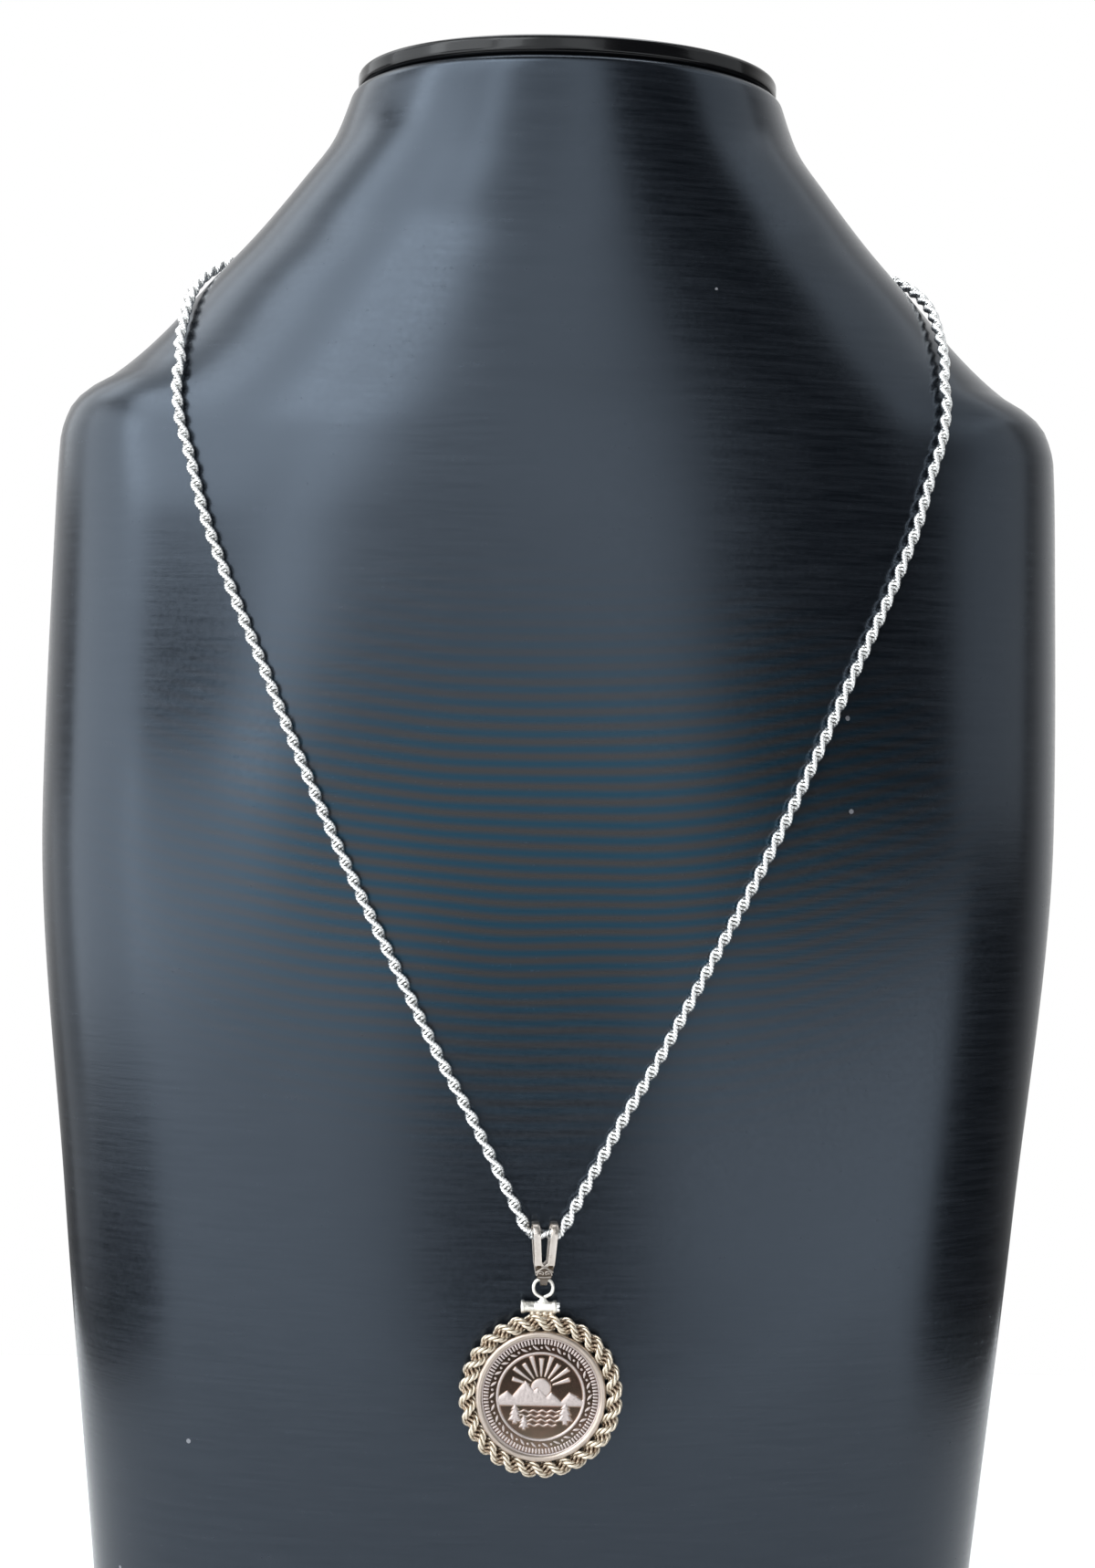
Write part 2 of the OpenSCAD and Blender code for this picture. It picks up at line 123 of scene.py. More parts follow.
CHAIN_STEPS = (12, 6)

# Rope border round the bezel, in millimetres and degrees
BORDER_PATH_R = 14.5
BORDER_PATH_STEPS = 360
BORDER_LOBES = 28
BORDER_LINKS_PER_LOBE = 9
BORDER_TILT = 20
BORDER_LINK = {"Link Radius": 1.22, "Wire Radius": 0.32, "Side Offset": 0.32, "Cut Radius": 1.75}
BORDER_STEPS = (20, 10)

# Bail, in millimetres
BAIL_L = (HANG.z - LOOP_BAR.z) / MM
BAIL_T = 0.5
BAIL_TOP_R = 1.9
BAIL_END_R = 0.65
BAIL_TURN = radians(6)
STRAP_COLUMNS = 7
STRAP_ROW_STEP = 0.2
STRAP_CROWN = 0.07
STRAP_EDGE_R = 0.09
# height from the chain's middle, half width
BAIL_EDGE = [(2.9, 2.55), (-5.8, 1.95), (-8.3, 1.5), (-8.55, 1.35), (-8.75, 0.8), (-11, 0.5)]
BAIL_WINDOW = [(3.9, 1.35), (-5.5, 0.62), (-6.1, 0)]
YOKE_TOP = -5.9
YOKE_FOOT = -8.6
# points of each ridge on the yoke, right and up from the chain's middle, and its half thickness;
# a scroll is there twice, right and left
ARCH = [(-1.72, -7.35), (-1.1, -6.95), (-0.45, -6.55), (0, -6.4), (0.45, -6.55), (1.1, -6.95), (1.72, -7.35)]
SCROLLS = [
    ([(1.5, -7.95), (1.3, -7.4), (0.75, -7.15), (0.2, -7.4), (0.35, -7.85)], 0.14),
    ([(1.05, -7.7), (0.75, -7.5), (0.6, -7.75)], 0.12),
]
YOKE_RIDGES = [(ARCH, 0.16), ([(-1.3, -8.28), (0, -8.36), (1.3, -8.28)], 0.17)]
YOKE_RIDGES += [([(side * x, up) for x, up in line], r) for line, r in SCROLLS for side in (-1, 1)]
RIDGE_SINK = 0.02
# dark leaves at the ends of the straps: right or left, height, and half sizes
LEAF_X = 1.15
LEAF_UP = -6.2
LEAF_HALF = (0.55, 0.14, 0.3)

# Bezel, barrel and loop, in millimetres
BEZEL_R = 12.95
BEZEL_W = 1.45
BEZEL_DEPTH = 2.8
CHANNEL_GAP_R = 0.1
CHANNEL_GAP_Y = 0.05
BARREL_L = 7.0
BARREL_SHIFT = -0.8
BARREL_END_R = 1.3
BARREL_MID_R = 1.05
BARREL_BORE_R = 0.7
BARREL_EDGE = 0.12
BARREL_FLARE = 0.4
BARREL_SLOPE = 0.6
BARREL_JOINT = -0.9
BARREL_GROOVE = 0.06
# right of the middle, height from the barrel's middle and half width of each lump under it
FOOT_LUMPS = [
    (-1.9, -1.35, 0.7), (-0.75, -1.3, 0.8), (0.55, -1.35, 0.75), (1.75, -1.5, 0.7), (-0.1, -2.4, 1.5),
]
FOOT_HALF_D = 0.65
FOOT_HALF_H = 0.75
# fixed place of the solder lumps on the rope's scale from dark hollow (tarnish and painted shade) to polished
FOOT_REACH = 0.62
WIRE_D = 0.7
LOOP_HALF = [(1, 0), (1.65, -0.55), (1.92, -1.6), (1.45, -2.75)]
LOOP_BEND = 0.2
LOOP_POINT_Z = -3.6
LOOP_END_SHIFT = 0.14
# height, half width and half depth of the solder under the loop
SOLDER = [
    (-3.25, 0.3, 0.3), (-3.45, 0.5, 0.42), (-3.8, 0.68, 0.48), (-4.1, 0.95, 0.53), (-4.5, 1.75, 0.55),
    (-4.7, 1.8, 0.5),
]

# Coin, in millimetres
COIN_R = (COIN_HIGH.x - COIN_LOW.x) / 2 / MM
COIN_T = (COIN_HIGH.y - COIN_LOW.y) / MM
COIN_COLUMNS = 512
FIELD_SINK = 0.3
FIELD = COIN_T / 2 - FIELD_SINK
RIM_W = 0.6
SCENE_R = 8.3
INNER_RING_W = 0.55
REED_COUNT = 104
REED_R = 10.83
REED_HALF_W = 0.2
LEAF_COUNT = 26
LEAF_LEAN = radians(52)
WREATH_R = 9.62
# what the "relief" attribute holds per millimetre above the field
RELIEF_SCALE = 10.0
# height and soft edge of each kind of relief
RELIEF = {
    "sun": (0.16, 0.7), "ray": (0.12, 0.2), "land": (0.2, 0.9), "peak": (0.1, 0.3),
    "ripple": (0.12, 0.12), "pine": (0.28, 0.35), "ring": (0.25, 0.2), "rim": (FIELD_SINK, 0.2),
}
PEAK_LIFT = 0.14
CRAGS = 0.03
MOUNTAINS = [
    (-9, -1.9), (-9, -0.6), (-6.6, 1.1), (-5.5, 0.2), (-3.1, 3.1), (-1.5, 1.2), (-0.6, 1.9),
    (1.1, 0.1), (2.1, 1), (4.1, -0.8), (5.6, 0.9), (9, -0.9), (9, -1.9),
]
PEAK_FACES = [
    [(-3.1, 3.1), (-1.5, 1.2), (-1.9, -0.2), (-2.6, 0.7), (-2.9, 1.7)],
    [(-0.6, 1.9), (1.1, 0.1), (0.5, -0.9), (-0.1, 0.3)],
    [(5.6, 0.9), (7.2, 0.1), (6.3, -0.9), (5.7, -0.1)],
]
# x, y, height of each pine, and half of its outline as shares of the height
PINES = [(-5, -5.4, 3.9), (-3.2, -6.6, 2.9), (4.9, -5.5, 4.4)]
PINE_HALF = [(0.11, 0), (0.11, 0.16), (0.34, 0.16), (0.17, 0.44), (0.27, 0.44), (0.12, 0.7), (0.2, 0.7)]
# y, half length, phase of each ripple
RIPPLES = [(-2.9, 5.6, 0), (-3.8, 4.1, 90), (-4.7, 4.7, 40), (-5.6, 3.2, 140)]
RIPPLE_HALF_W = 0.14
RIPPLE_SWAY = 0.16
SUN_Y = 1.6
SUN_R = 2.0
RAY_COUNT = 9
# corners of a short and of a long ray, along it and aside from the sun's middle
RAYS = [[(2.4, -0.14), (2.4, 0.14), (end, 0.42), (end, -0.42)] for end in (5.9, 6.6)]


def with_settings(thing, **settings):
    """Gives a thing its named settings."""
    for name, value in settings.items():
        setattr(thing, name, value)
    return thing


def new_object(name, data):
    made = bpy.data.objects.new(name, data)
    scene.collection.objects.link(made)
    return made


def mesh_object(name, points, faces=(), edges=()):
    """A new smooth object from points in metres."""
    mesh = bpy.data.meshes.new(name)
    mesh.from_pydata([tuple(p) for p in points], edges, [tuple(f) for f in faces])
    mesh.polygons.foreach_set("use_smooth", [True] * len(mesh.polygons))
    mesh.update()
    return new_object(name, mesh)


def tidy(made):
    """Merges doubles and turns the faces outwards."""
    work = bmesh.new()
    work.from_mesh(made.data)
    bmesh.ops.remove_doubles(work, verts=work.verts, dist=MERGE_DISTANCE)
    bmesh.ops.recalc_face_normals(work, faces=work.faces)
    work.to_mesh(made.data)
    work.free()
    made.data.update()
    return made


def paint(made, material):
    made.data.materials.clear()
    made.data.materials.append(material)


def finish_piece(made, node, material, sharp=None):
    """Gives a piece its sharp edges and its material, hangs it on the body of the node that it stands for and
    hides that node.
    """
    if sharp:
        made.data.set_sharp_from_angle(angle=radians(sharp))
    paint(made, material)
    body, slot = NODES[node]
    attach(made, body)
    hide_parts(node)


def applied(made):
    """Turns an object's modifiers into its mesh."""
    depsgraph = bpy.context.evaluated_depsgraph_get()
    mesh = bpy.data.meshes.new_from_object(made.evaluated_get(depsgraph), depsgraph=depsgraph)
    made.modifiers.clear()
    made.data = mesh
    return made


def set_values(made, name, values):
    """Stores one number per point, or the same number for all of them."""
    each = np.broadcast_to(np.asarray(values, np.float32), len(made.data.vertices))
    made.data.attributes.new(name, "FLOAT", "POINT").data.foreach_set("value", np.array(each))
    return made


def joined(name, pieces, kept=None):
    """One smooth object out of several, with one of their attributes."""
    points, faces, values = [], [], []
    for piece in pieces:
        faces += [[len(points) + i for i in polygon.vertices] for polygon in piece.data.polygons]
        points += [tuple(v.co) for v in piece.data.vertices]
        if kept:
            values += [item.value for item in piece.data.attributes[kept].data]
        bpy.data.objects.remove(piece)
    made = mesh_object(name, points, faces)
    return set_values(made, kept, values) if kept else made


def ring_faces(rings, sides, closed=False, seam=True):
    """Quads along rings of equal point counts."""
    faces = []
    for i in range(rings if closed else rings - 1):
        for k in range(sides if seam else sides - 1):
            a = i * sides
            step = ((i + 1) % rings) * sides
            faces.append((a + k, a + (k + 1) % sides, step + (k + 1) % sides, step + k))
    return faces


def loft(name, rings, closed=False):
    """Skin over rings of points in metres, capped unless it closes into a loop."""
    count, sides = len(rings), len(rings[0])
    faces = ring_faces(count, sides, closed)
    if not closed:
        faces += [tuple(range(sides)), tuple(range((count - 1) * sides, count * sides))]
    return tidy(mesh_object(name, [p for ring in rings for p in ring], faces))


def tube(name, path, radius, sides):
    """Round wire along points, without twist."""
    rings = []
    side = (path[1] - path[0]).orthogonal()
    for i, p in enumerate(path):
        along = (path[min(i + 1, len(path) - 1)] - path[max(i - 1, 0)]).normalized()
        side = (side - along * side.dot(along)).normalized()
        up = along.cross(side)
        turns = [tau * k / sides for k in range(sides)]
        rings.append([p + (side * cos(t) + up * sin(t)) * radius for t in turns])
    return loft(name, rings)


def lathe(name, profile, place, steps):
    """Turns a profile of (radius, distance along) pairs; place maps (x, y, along) to a point."""
    turns = [tau * i / steps for i in range(steps)]
    rings = [[place(r * cos(t), r * sin(t), along) for r, along in profile] for t in turns]
    return loft(name, rings, closed=True)


def ball(name, middle, half):
    """Round lump with three half sizes, in metres."""
    work = bmesh.new()
    place = Matrix.Translation(middle) @ Matrix.Diagonal((*half, 1))
    bmesh.ops.create_uvsphere(work, u_segments=20, v_segments=12, radius=1, matrix=place)
    made = mesh_object(name, [])
    work.to_mesh(made.data)
    work.free()
    return made


def arc(middle, radius, start, end, steps):
    """Points of an arc in degrees."""
    turns = [radians(start + (end - start) * i / steps) for i in range(steps + 1)]
    return [(middle[0] + radius * cos(t), middle[1] + radius * sin(t)) for t in turns]


def curve_points(knots, steps):
    """Points of a smooth curve from the second knot to the last but one."""
    path = []
    for a, b, c, d in zip(knots, knots[1:], knots[2:], knots[3:]):
        for u in [k / steps for k in range(steps)]:
            path.append(0.5 * (2 * b + (c - a) * u + (2 * a - 5 * b + 4 * c - d) * u * u
                               + (3 * b - a - 3 * c + d) * u * u * u))
    return path + [knots[-2]]


def smooth_path(points, steps):
    """Points of a smooth curve from the first of the given ones to the last."""
    points = [Vector(p) for p in points]
    return curve_points([points[0]] + points + [points[-1]], steps)


def row_slopes(table, column):
    """Slope at each row, so that the curve never overshoots between rows."""
    secants = np.diff(table[:, column]) / np.diff(table[:, 0])
    before, after = secants[:-1], secants[1:]
    same_way = before * after > 0
    total = np.where(same_way, before + after, 1)
    inner = np.where(same_way, 2 * before * after / total, 0)
    return np.concatenate([secants[:1], inner, secants[-1:]])


BUST_SLOPES = {column: row_slopes(BUST, column) for column in range(1, 6)}


def smooth_at(z, column):
    """A column of the bust's table at a height, in millimetres."""
    z = np.asarray(z, float)
    slopes = BUST_SLOPES[column]
    i = np.clip(np.searchsorted(BUST[:, 0], z, side="left") - 1, 0, len(BUST) - 2)
    h = BUST[i + 1, 0] - BUST[i, 0]
    u = (z - BUST[i, 0]) / h
    low = (1 + 2 * u) * (1 - u) ** 2 * BUST[i, column] + u * (1 - u) ** 2 * h * slopes[i]
    high = u * u * (3 - 2 * u) * BUST[i + 1, column] + u * u * (u - 1) * h * slopes[i + 1]
    return low + high


def shoulder_ease(x, z):
    """How far the front draws back at the shoulder, in millimetres."""
    square = smooth_at(z, 4)
    fronts = []
    for column in (1, 5):
        share = np.clip(np.abs(x) / (BUST_HALF_W * smooth_at(z, column)), 0, 1)
        fronts.append(smooth_at(z, 2) * (1 - share ** square) ** (1 / square))
    fade = np.clip((EASE_END - np.abs(x)) / (EASE_END - EASE_START), 0, 1)
    return (fronts[0] - fronts[1]) * fade * fade * (3 - 2 * fade)


def bust_point(angle, z, inset=0.0):
    """Point of the bust in millimetres at an angle in degrees, 0 in front and 90 at the right."""
    sine = np.sin(np.radians(angle))
    cosine = np.cos(np.radians(angle))
    square = smooth_at(z, 4)
    k = (np.abs(sine) ** square + np.abs(cosine) ** square) ** (-1 / square)
    depth = np.where(cosine > 0, smooth_at(z, 2), smooth_at(z, 3)) - inset
    x = (BUST_HALF_W * smooth_at(z, 1) - inset) * sine * k
    y = -depth * cosine * k + np.where(cosine > 0, shoulder_ease(x, z), 0)
    return np.stack([x, y, z + 0 * k], axis=-1)


def bust_normal(angle, z):
    """Outward direction of the bust's surface."""
    across = bust_point(angle + 0.5, z) - bust_point(angle - 0.5, z)
    upward = bust_point(angle, z + 0.5) - bust_point(angle, z - 0.5)
    normal = np.cross(across, upward)
    return normal / np.linalg.norm(normal, axis=-1, keepdims=True)


def edge_inset(distance, radius):
    """How far a rounded edge draws in at a distance from its end."""
    left = np.clip(radius - np.maximum(distance, 0), 0, radius)
    return radius - np.sqrt(radius * radius - left * left)


def level_rows(low, high, step, edge_r):
    """Heights of mesh rows, close together on the rounded ends."""
    ends = edge_r * (1 - np.cos(np.linspace(0, pi / 2, 7)))
    middle = np.linspace(low + edge_r, high - edge_r, max(2, int((high - low) / step)))
    return np.concatenate([low + ends[:-1], middle, high - ends[:-1][::-1]])


def bust_loft(name, low, high, step, edge_r, columns, inset=0.0):
    """Closed form with rounded edges through level sections of the bust."""
    angles = np.arange(columns) * 360.0 / columns
    rings = []
    for z in level_rows(low, high, step, edge_r):
        total = inset + edge_inset(z - low, edge_r) + edge_inset(high - z, edge_r)
        ring = bust_point(angles, np.full(columns, min(z, NECK_Z)), total)
        ring[:, 2] = z
        rings.append(ring * MM)
    return loft(name, rings)


def make_bust(vinyl, gloss):
    """The bust, and the plate on its neck."""
    made = bust_loft("neck_bust", 0, NECK_Z, BUST_ROW_STEP, BUST_EDGE_R, BUST_COLUMNS)
    finish_piece(made, "bust_form", vinyl, sharp=50)
    low, high = CAP_LOW.z / MM, CAP_HIGH.z / MM
    made = bust_loft("neck_plate", low, high, CAP_ROW_STEP, CAP_EDGE_R, CAP_COLUMNS, CAP_INSET)
    finish_piece(made, "neck_cap", gloss, sharp=60)


def chain_path(side):
    """Points in metres along one half of the chain, from the bail to the clasp."""
    clasp_angle = degrees(asin(CLASP_L / 2 / (BUST_HALF_W * float(smooth_at(NAPE_Z, 1)))))
    rows = [np.array(row, float) for row in ROUTE + [[180 - clasp_angle, NAPE_Z, NAPE_LIFT]]]
    knots = [rows[1] * [-1, 1, 1]] + rows + [2 * rows[-1] - rows[-2]]
    angle, z, lift = np.array(curve_points(knots, ROUTE_STEPS)).T
    return (bust_point(side * angle, z) + lift[:, None] * bust_normal(side * angle, z)) * MM


def wire(tree, socket, value):
    """Feeds an input with a value, another node's socket or a sum such as ("ADD", a, b)."""
    if isinstance(value, tuple) and isinstance(value[0], str):
        value = calc(tree, *value)
    if isinstance(value, bpy.types.NodeSocket):
        tree.links.new(value, socket)
    else:
        socket.default_value = value


def add(tree, kind, wires=None, **settings):
    """Outputs of a new node; its kind may leave out ShaderNode."""
    made = with_settings(tree.nodes.new(kind if "Node" in kind else "ShaderNode" + kind), **settings)
    for key, value in (wires or {}).items():
        wire(tree, made.inputs[key], value)
    return made.outputs


def first(tree, kind, wires=None, **settings):
    """First output of a new node."""
    return add(tree, kind, wires, **settings)[0]


def calc(tree, operation, *values):
    """Result of a math node."""
    return first(tree, "Math", dict(enumerate(values)), operation=operation)


def new_tree(name, **sockets):
    """A geometry tree with inputs of several kinds, and the sockets that give them."""
    tree = bpy.data.node_groups.new(name, "GeometryNodeTree")
    for kind, names in {"Geometry": ["Geometry"], **sockets, "Material": ["Finish"]}.items():
        for socket in names:
            tree.interface.new_socket(socket, in_out="INPUT", socket_type="NodeSocket" + kind)
    tree.interface.new_socket("Geometry", in_out="OUTPUT", socket_type="NodeSocketGeometry")
    return tree, tree.nodes.new("NodeGroupInput").outputs


def end_tree(tree, copies, finish):
    """Makes a tree's copies real, with their material, as its result."""
    real = first(tree, "GeometryNodeRealizeInstances", {"Geometry": copies})
    done = first(tree, "GeometryNodeSetMaterial", {"Geometry": real, "Material": finish})
    tree.links.new(done, tree.nodes.new("NodeGroupOutput").inputs[0])
    return tree


def rope_tree():
    """Round links along a path, each turned a little further than the last, in two strands."""
    tree, value = new_tree(
        "Rope Links", Int=("Link Count", "Ring Steps", "Wire Steps"),
        Float=("Turn Per Link", "Link Radius", "Wire Radius", "Side Offset", "Tilt", "Cut Radius"))
    line = first(tree, "GeometryNodeMeshToCurve", {"Mesh": value["Geometry"]})
    spots = add(tree, "GeometryNodeCurveToPoints", {"Curve": line, "Count": value["Link Count"]},
                mode="COUNT")
    ring, profile = [
        first(tree, "GeometryNodeCurvePrimitiveCircle", {"Resolution": value[steps], "Radius": value[radius]},
              mode="RADIUS")
        for steps, radius in (("Ring Steps", "Link Radius"), ("Wire Steps", "Wire Radius"))]
    link = first(tree, "GeometryNodeCurveToMesh", {"Curve": ring, "Profile Curve": profile})
    lean = first(tree, "CombineXYZ", {"X": ("SUBTRACT", pi / 2, value["Tilt"])})
    shift = first(tree, "CombineXYZ", {"X": value["Side Offset"]})
    leaned = first(tree, "GeometryNodeTransform", {"Geometry": link, "Rotation": lean, "Translation": shift})
    place = first(tree, "GeometryNodeInputPosition")
    x, y, z = add(tree, "SeparateXYZ", {"Vector": place})
    reach = calc(tree, "SQRT", ("ADD", ("MULTIPLY", x, x), ("MULTIPLY", y, y)))
    keep = calc(tree, "MINIMUM", 1.0, ("DIVIDE", value["Cut Radius"], ("MAXIMUM", reach, 0.001 * MM)))
    cut = first(tree, "CombineXYZ", {
        "X": ("MULTIPLY", x, keep), "Y": ("MULTIPLY", y, keep), "Z": z})
    clipped = first(tree, "GeometryNodeSetPosition", {"Geometry": leaned, "Position": cut})
    stored = first(tree, "GeometryNodeStoreNamedAttribute", {
        "Geometry": clipped, "Name": "reach", "Value": ("DIVIDE", reach, value["Cut Radius"])},
        data_type="FLOAT", domain="POINT")
    soft = first(tree, "GeometryNodeSetShadeSmooth", {"Geometry": stored})
    number = first(tree, "GeometryNodeInputIndex")
    odd = calc(tree, "MULTIPLY", ("FLOORED_MODULO", number, 2.0), pi)
    turn = calc(tree, "ADD", ("MULTIPLY", number, value["Turn Per Link"]), odd)
    twist = first(tree, "FunctionNodeAxisAngleToRotation", {"Axis": (0, 0, 1), "Angle": turn})
    facing = first(tree, "FunctionNodeRotateRotation", {"Rotation": spots["Rotation"], "Rotate By": twist},
                   rotation_space="LOCAL")
    placed = first(tree, "GeometryNodeInstanceOnPoints", {
        "Points": spots["Points"], "Instance": soft, "Rotation": facing})
    return end_tree(tree, placed, value["Finish"])


def grown(host, tree, values):
    """Runs a tree with named values, and leaves its result as a plain mesh."""
    modifier = host.modifiers.new("grown", "NODES")
    modifier.node_group = tree
    for item in tree.interface.items_tree:
        if item.in_out == "INPUT" and item.name in values:
            modifier[item.identifier] = values[item.name]
    return applied(host)


def make_rope(name, node, tree, path, link, tilt, counts, turn, material, closed=False):
    """Rope piece along points in metres; counts are links, a link's steps, a wire's sides."""
    edges = [(i, i + 1) for i in range(len(path) - 1)]
    if closed:
        edges.append((len(path) - 1, 0))
    values = {key: size * MM for key, size in link.items()}
    values.update(zip(("Link Count", "Ring Steps", "Wire Steps"), counts))
    values.update({"Turn Per Link": turn, "Tilt": radians(tilt), "Finish": material})
    finish_piece(grown(mesh_object(name, path, edges=edges), tree, values), node, material)


def make_chain(tree, material):
    """The rope chain in two halves that meet inside the bail, with a left-handed twist."""
    turn = -tau * CHAIN_SPACING / CHAIN_TURN_L
    for name, side in (("rope_chain_left", -1), ("rope_chain_right", 1)):
        path = chain_path(side)
        length = float(np.linalg.norm(np.diff(path, axis=0), axis=1).sum())
        counts = (round(length / MM / CHAIN_SPACING), *CHAIN_STEPS)
        make_rope(name, "rope_chain", tree, path, CHAIN_LINK, CHAIN_TILT, counts, turn, material)


def on_face(x, up, forward=0.0):
    """Point in metres at millimetres right, up and forward of the coin's middle."""
    return COIN_MIDDLE + Vector((x, -forward, up)) * MM


def make_border(tree, material):
    """The thick rope round the bezel, with a right-handed twist."""
    path = [on_face(x, up) for x, up in arc((0, 0), BORDER_PATH_R, 90, 450, BORDER_PATH_STEPS)[:-1]]
    counts = (BORDER_LOBES * BORDER_LINKS_PER_LOBE, *BORDER_STEPS)
    turn = pi / BORDER_LINKS_PER_LOBE
    make_rope("rope_border", "bezel", tree, path, BORDER_LINK, BORDER_TILT, counts, turn, material,
              closed=True)


def make_bezel_ring(material):
    """Ring with rounded lips and a channel that holds the coin."""
    lip = BEZEL_W / 2
    lip_y = BEZEL_DEPTH / 2 - lip
    channel_r = COIN_R + CHANNEL_GAP_R
    channel_y = COIN_T / 2 + CHANNEL_GAP_Y
    cut = degrees(asin((channel_y - lip_y) / lip))
    profile = arc((BEZEL_R - lip, lip_y), lip, 0, 180 - cut, 12)
    profile += [(channel_r, channel_y), (channel_r, -channel_y)]
    profile += arc((BEZEL_R - lip, -lip_y), lip, 180 + cut, 360, 12)
    finish_piece(lathe("bezel_ring", profile, on_face, 160), "bezel", material, sharp=50)


def make_barrel():
    """Tube that the screw runs through, wider at its ends, with a joint line round it."""
    half = BARREL_L / 2
    start = -half + BARREL_FLARE
    edge = -half + BARREL_EDGE
    profile = [(BARREL_BORE_R, -half), (BARREL_END_R - BARREL_EDGE, -half), (BARREL_END_R, edge)]
    for k in range(9):
        blend = (1 + cos(pi * k / 8)) / 2
        profile.append((BARREL_MID_R + (BARREL_END_R - BARREL_MID_R) * blend, start + BARREL_SLOPE * k / 8))
    other_end = [(r, -along) for r, along in reversed(profile)]
    profile += [(BARREL_MID_R, BARREL_JOINT - BARREL_GROOVE), (BARREL_MID_R - BARREL_GROOVE, BARREL_JOINT)]
    profile += [(BARREL_MID_R, BARREL_JOINT + BARREL_GROOVE)] + other_end
    middle = BARREL_MIDDLE + Vector((BARREL_SHIFT, 0, 0)) * MM
    return lathe("barrel_tube", profile, lambda x, y, along: middle + Vector((along, x, y)) * MM, 64)


def make_loop():
    """Wire loop with a flat top, whose two ends cross where they are soldered."""
    right = [(x, 0, z) for x, z in LOOP_HALF]
    left = [(-x, 0, z) for x, z in reversed(LOOP_HALF)]
    bend = [(side * LOOP_BEND, 0, 0) for side in (-1, 1)]
    ends = [(-side * LOOP_END_SHIFT, side * LOOP_END_SHIFT, LOOP_POINT_Z) for side in (-1, 1)]
    path = smooth_path([ends[0]] + left + bend + right + [ends[1]], 8)
    return tube("loop_wire", [LOOP_BAR + p * MM for p in path], WIRE_D / 2 * MM, 14)


def make_barrel_and_loop(material):
    """The barrel, the loop and the solder that spreads between them."""
    turns = [tau * k / 28 for k in range(28)]
    rings = [[LOOP_BAR + Vector((half_w * cos(t), half_d * sin(t), up)) * MM for t in turns]
             for up, half_w, half_d in smooth_path(SOLDER, 4)]
    made = joined("barrel_and_loop", [make_barrel(), make_loop(), loft("solder", rings)])
    finish_piece(made, "bezel", material, sharp=45)


def make_foot(material):
    """Small lumps of solder that carry the barrel on the rope and the ring."""
    lumps = []
    for x, up, half_w in FOOT_LUMPS:
        middle = BARREL_MIDDLE + Vector((x, 0, up)) * MM
        lump = ball("foot", middle, Vector((half_w, FOOT_HALF_D, FOOT_HALF_H)) * MM)
        lumps.append(set_values(lump, "reach", FOOT_REACH))
    finish_piece(joined("barrel_foot", lumps, "reach"), "bezel", material)


def from_table(rows, at):
    """Value at a height from rows of height and value, highest first."""
    return float(np.interp(at, *zip(*reversed(rows))))


def bail_path(grow):
    """Side view of the band, forward and up from the chain's middle, once round."""
    lean = degrees(asin((BAIL_TOP_R - BAIL_END_R) / BAIL_L))
    over = arc((0, 0), BAIL_TOP_R + grow, -lean, 180 + lean, 26)
    under = arc((0, -BAIL_L), BAIL_END_R + grow, 180 + lean, 360 - lean, 14)
    corners = [row[0] for row in BAIL_EDGE + BAIL_WINDOW]
    heights = sorted(set(corners) | set(np.arange(-BAIL_L, 0, STRAP_ROW_STEP)), reverse=True)
    high, low = over[0][1], under[0][1]
    shares = [(high - up) / (high - low) for up in heights if low + 0.05 < up < high - 0.05]
    down, up = [[tuple(np.array(over[i]) * (1 - u) + np.array(under[j]) * u) for u in shares]
                for i, j in ((-1, 0), (0, -1))]
    return over + down + under + up[::-1]


def on_bail(x, up, lift=0.0):
    """Point in metres on the bail's front, at millimetres right and up from the chain's middle."""
    forward = BAIL_END_R + (BAIL_TOP_R - BAIL_END_R) * (up + BAIL_L) / BAIL_L + BAIL_T + lift
    return HANG + Vector((x, -forward, up)) * MM


def bail_straps():
    """Two straps with slightly crowned faces, parted over the chain and joined in the yoke."""
    path = bail_path(BAIL_T / 2)
    count = len(path)
    sheets = []
    for side in (-1, 1):
        points = []
        for i, (forward, up) in enumerate(path):
            run = (Vector(path[(i + 1) % count]) - Vector(path[i - 1])).normalized()
            outer = from_table(BAIL_EDGE, up)
            window = from_table(BAIL_WINDOW, up)
            for k in range(STRAP_COLUMNS):
                u = k / (STRAP_COLUMNS - 1)
                x = side * (window + (outer - window) * u)
                lift = STRAP_CROWN * (1 - (2 * u - 1) ** 2) * min(1, window / 0.3)
                points.append(HANG + Vector((x, -(forward + run.y * lift), up - run.x * lift)) * MM)
        sheets.append(mesh_object("strap", points, ring_faces(count, STRAP_COLUMNS, True, seam=False)))
    made = tidy(joined("bail_straps", sheets))
    with_settings(made.modifiers.new("wall", "SOLIDIFY"), thickness=BAIL_T * MM, offset=0,
                  use_even_offset=True)
    with_settings(made.modifiers.new("edge", "BEVEL"), width=STRAP_EDGE_R * MM, segments=3,
                  limit_method="ANGLE", angle_limit=radians(50))
    return applied(made)


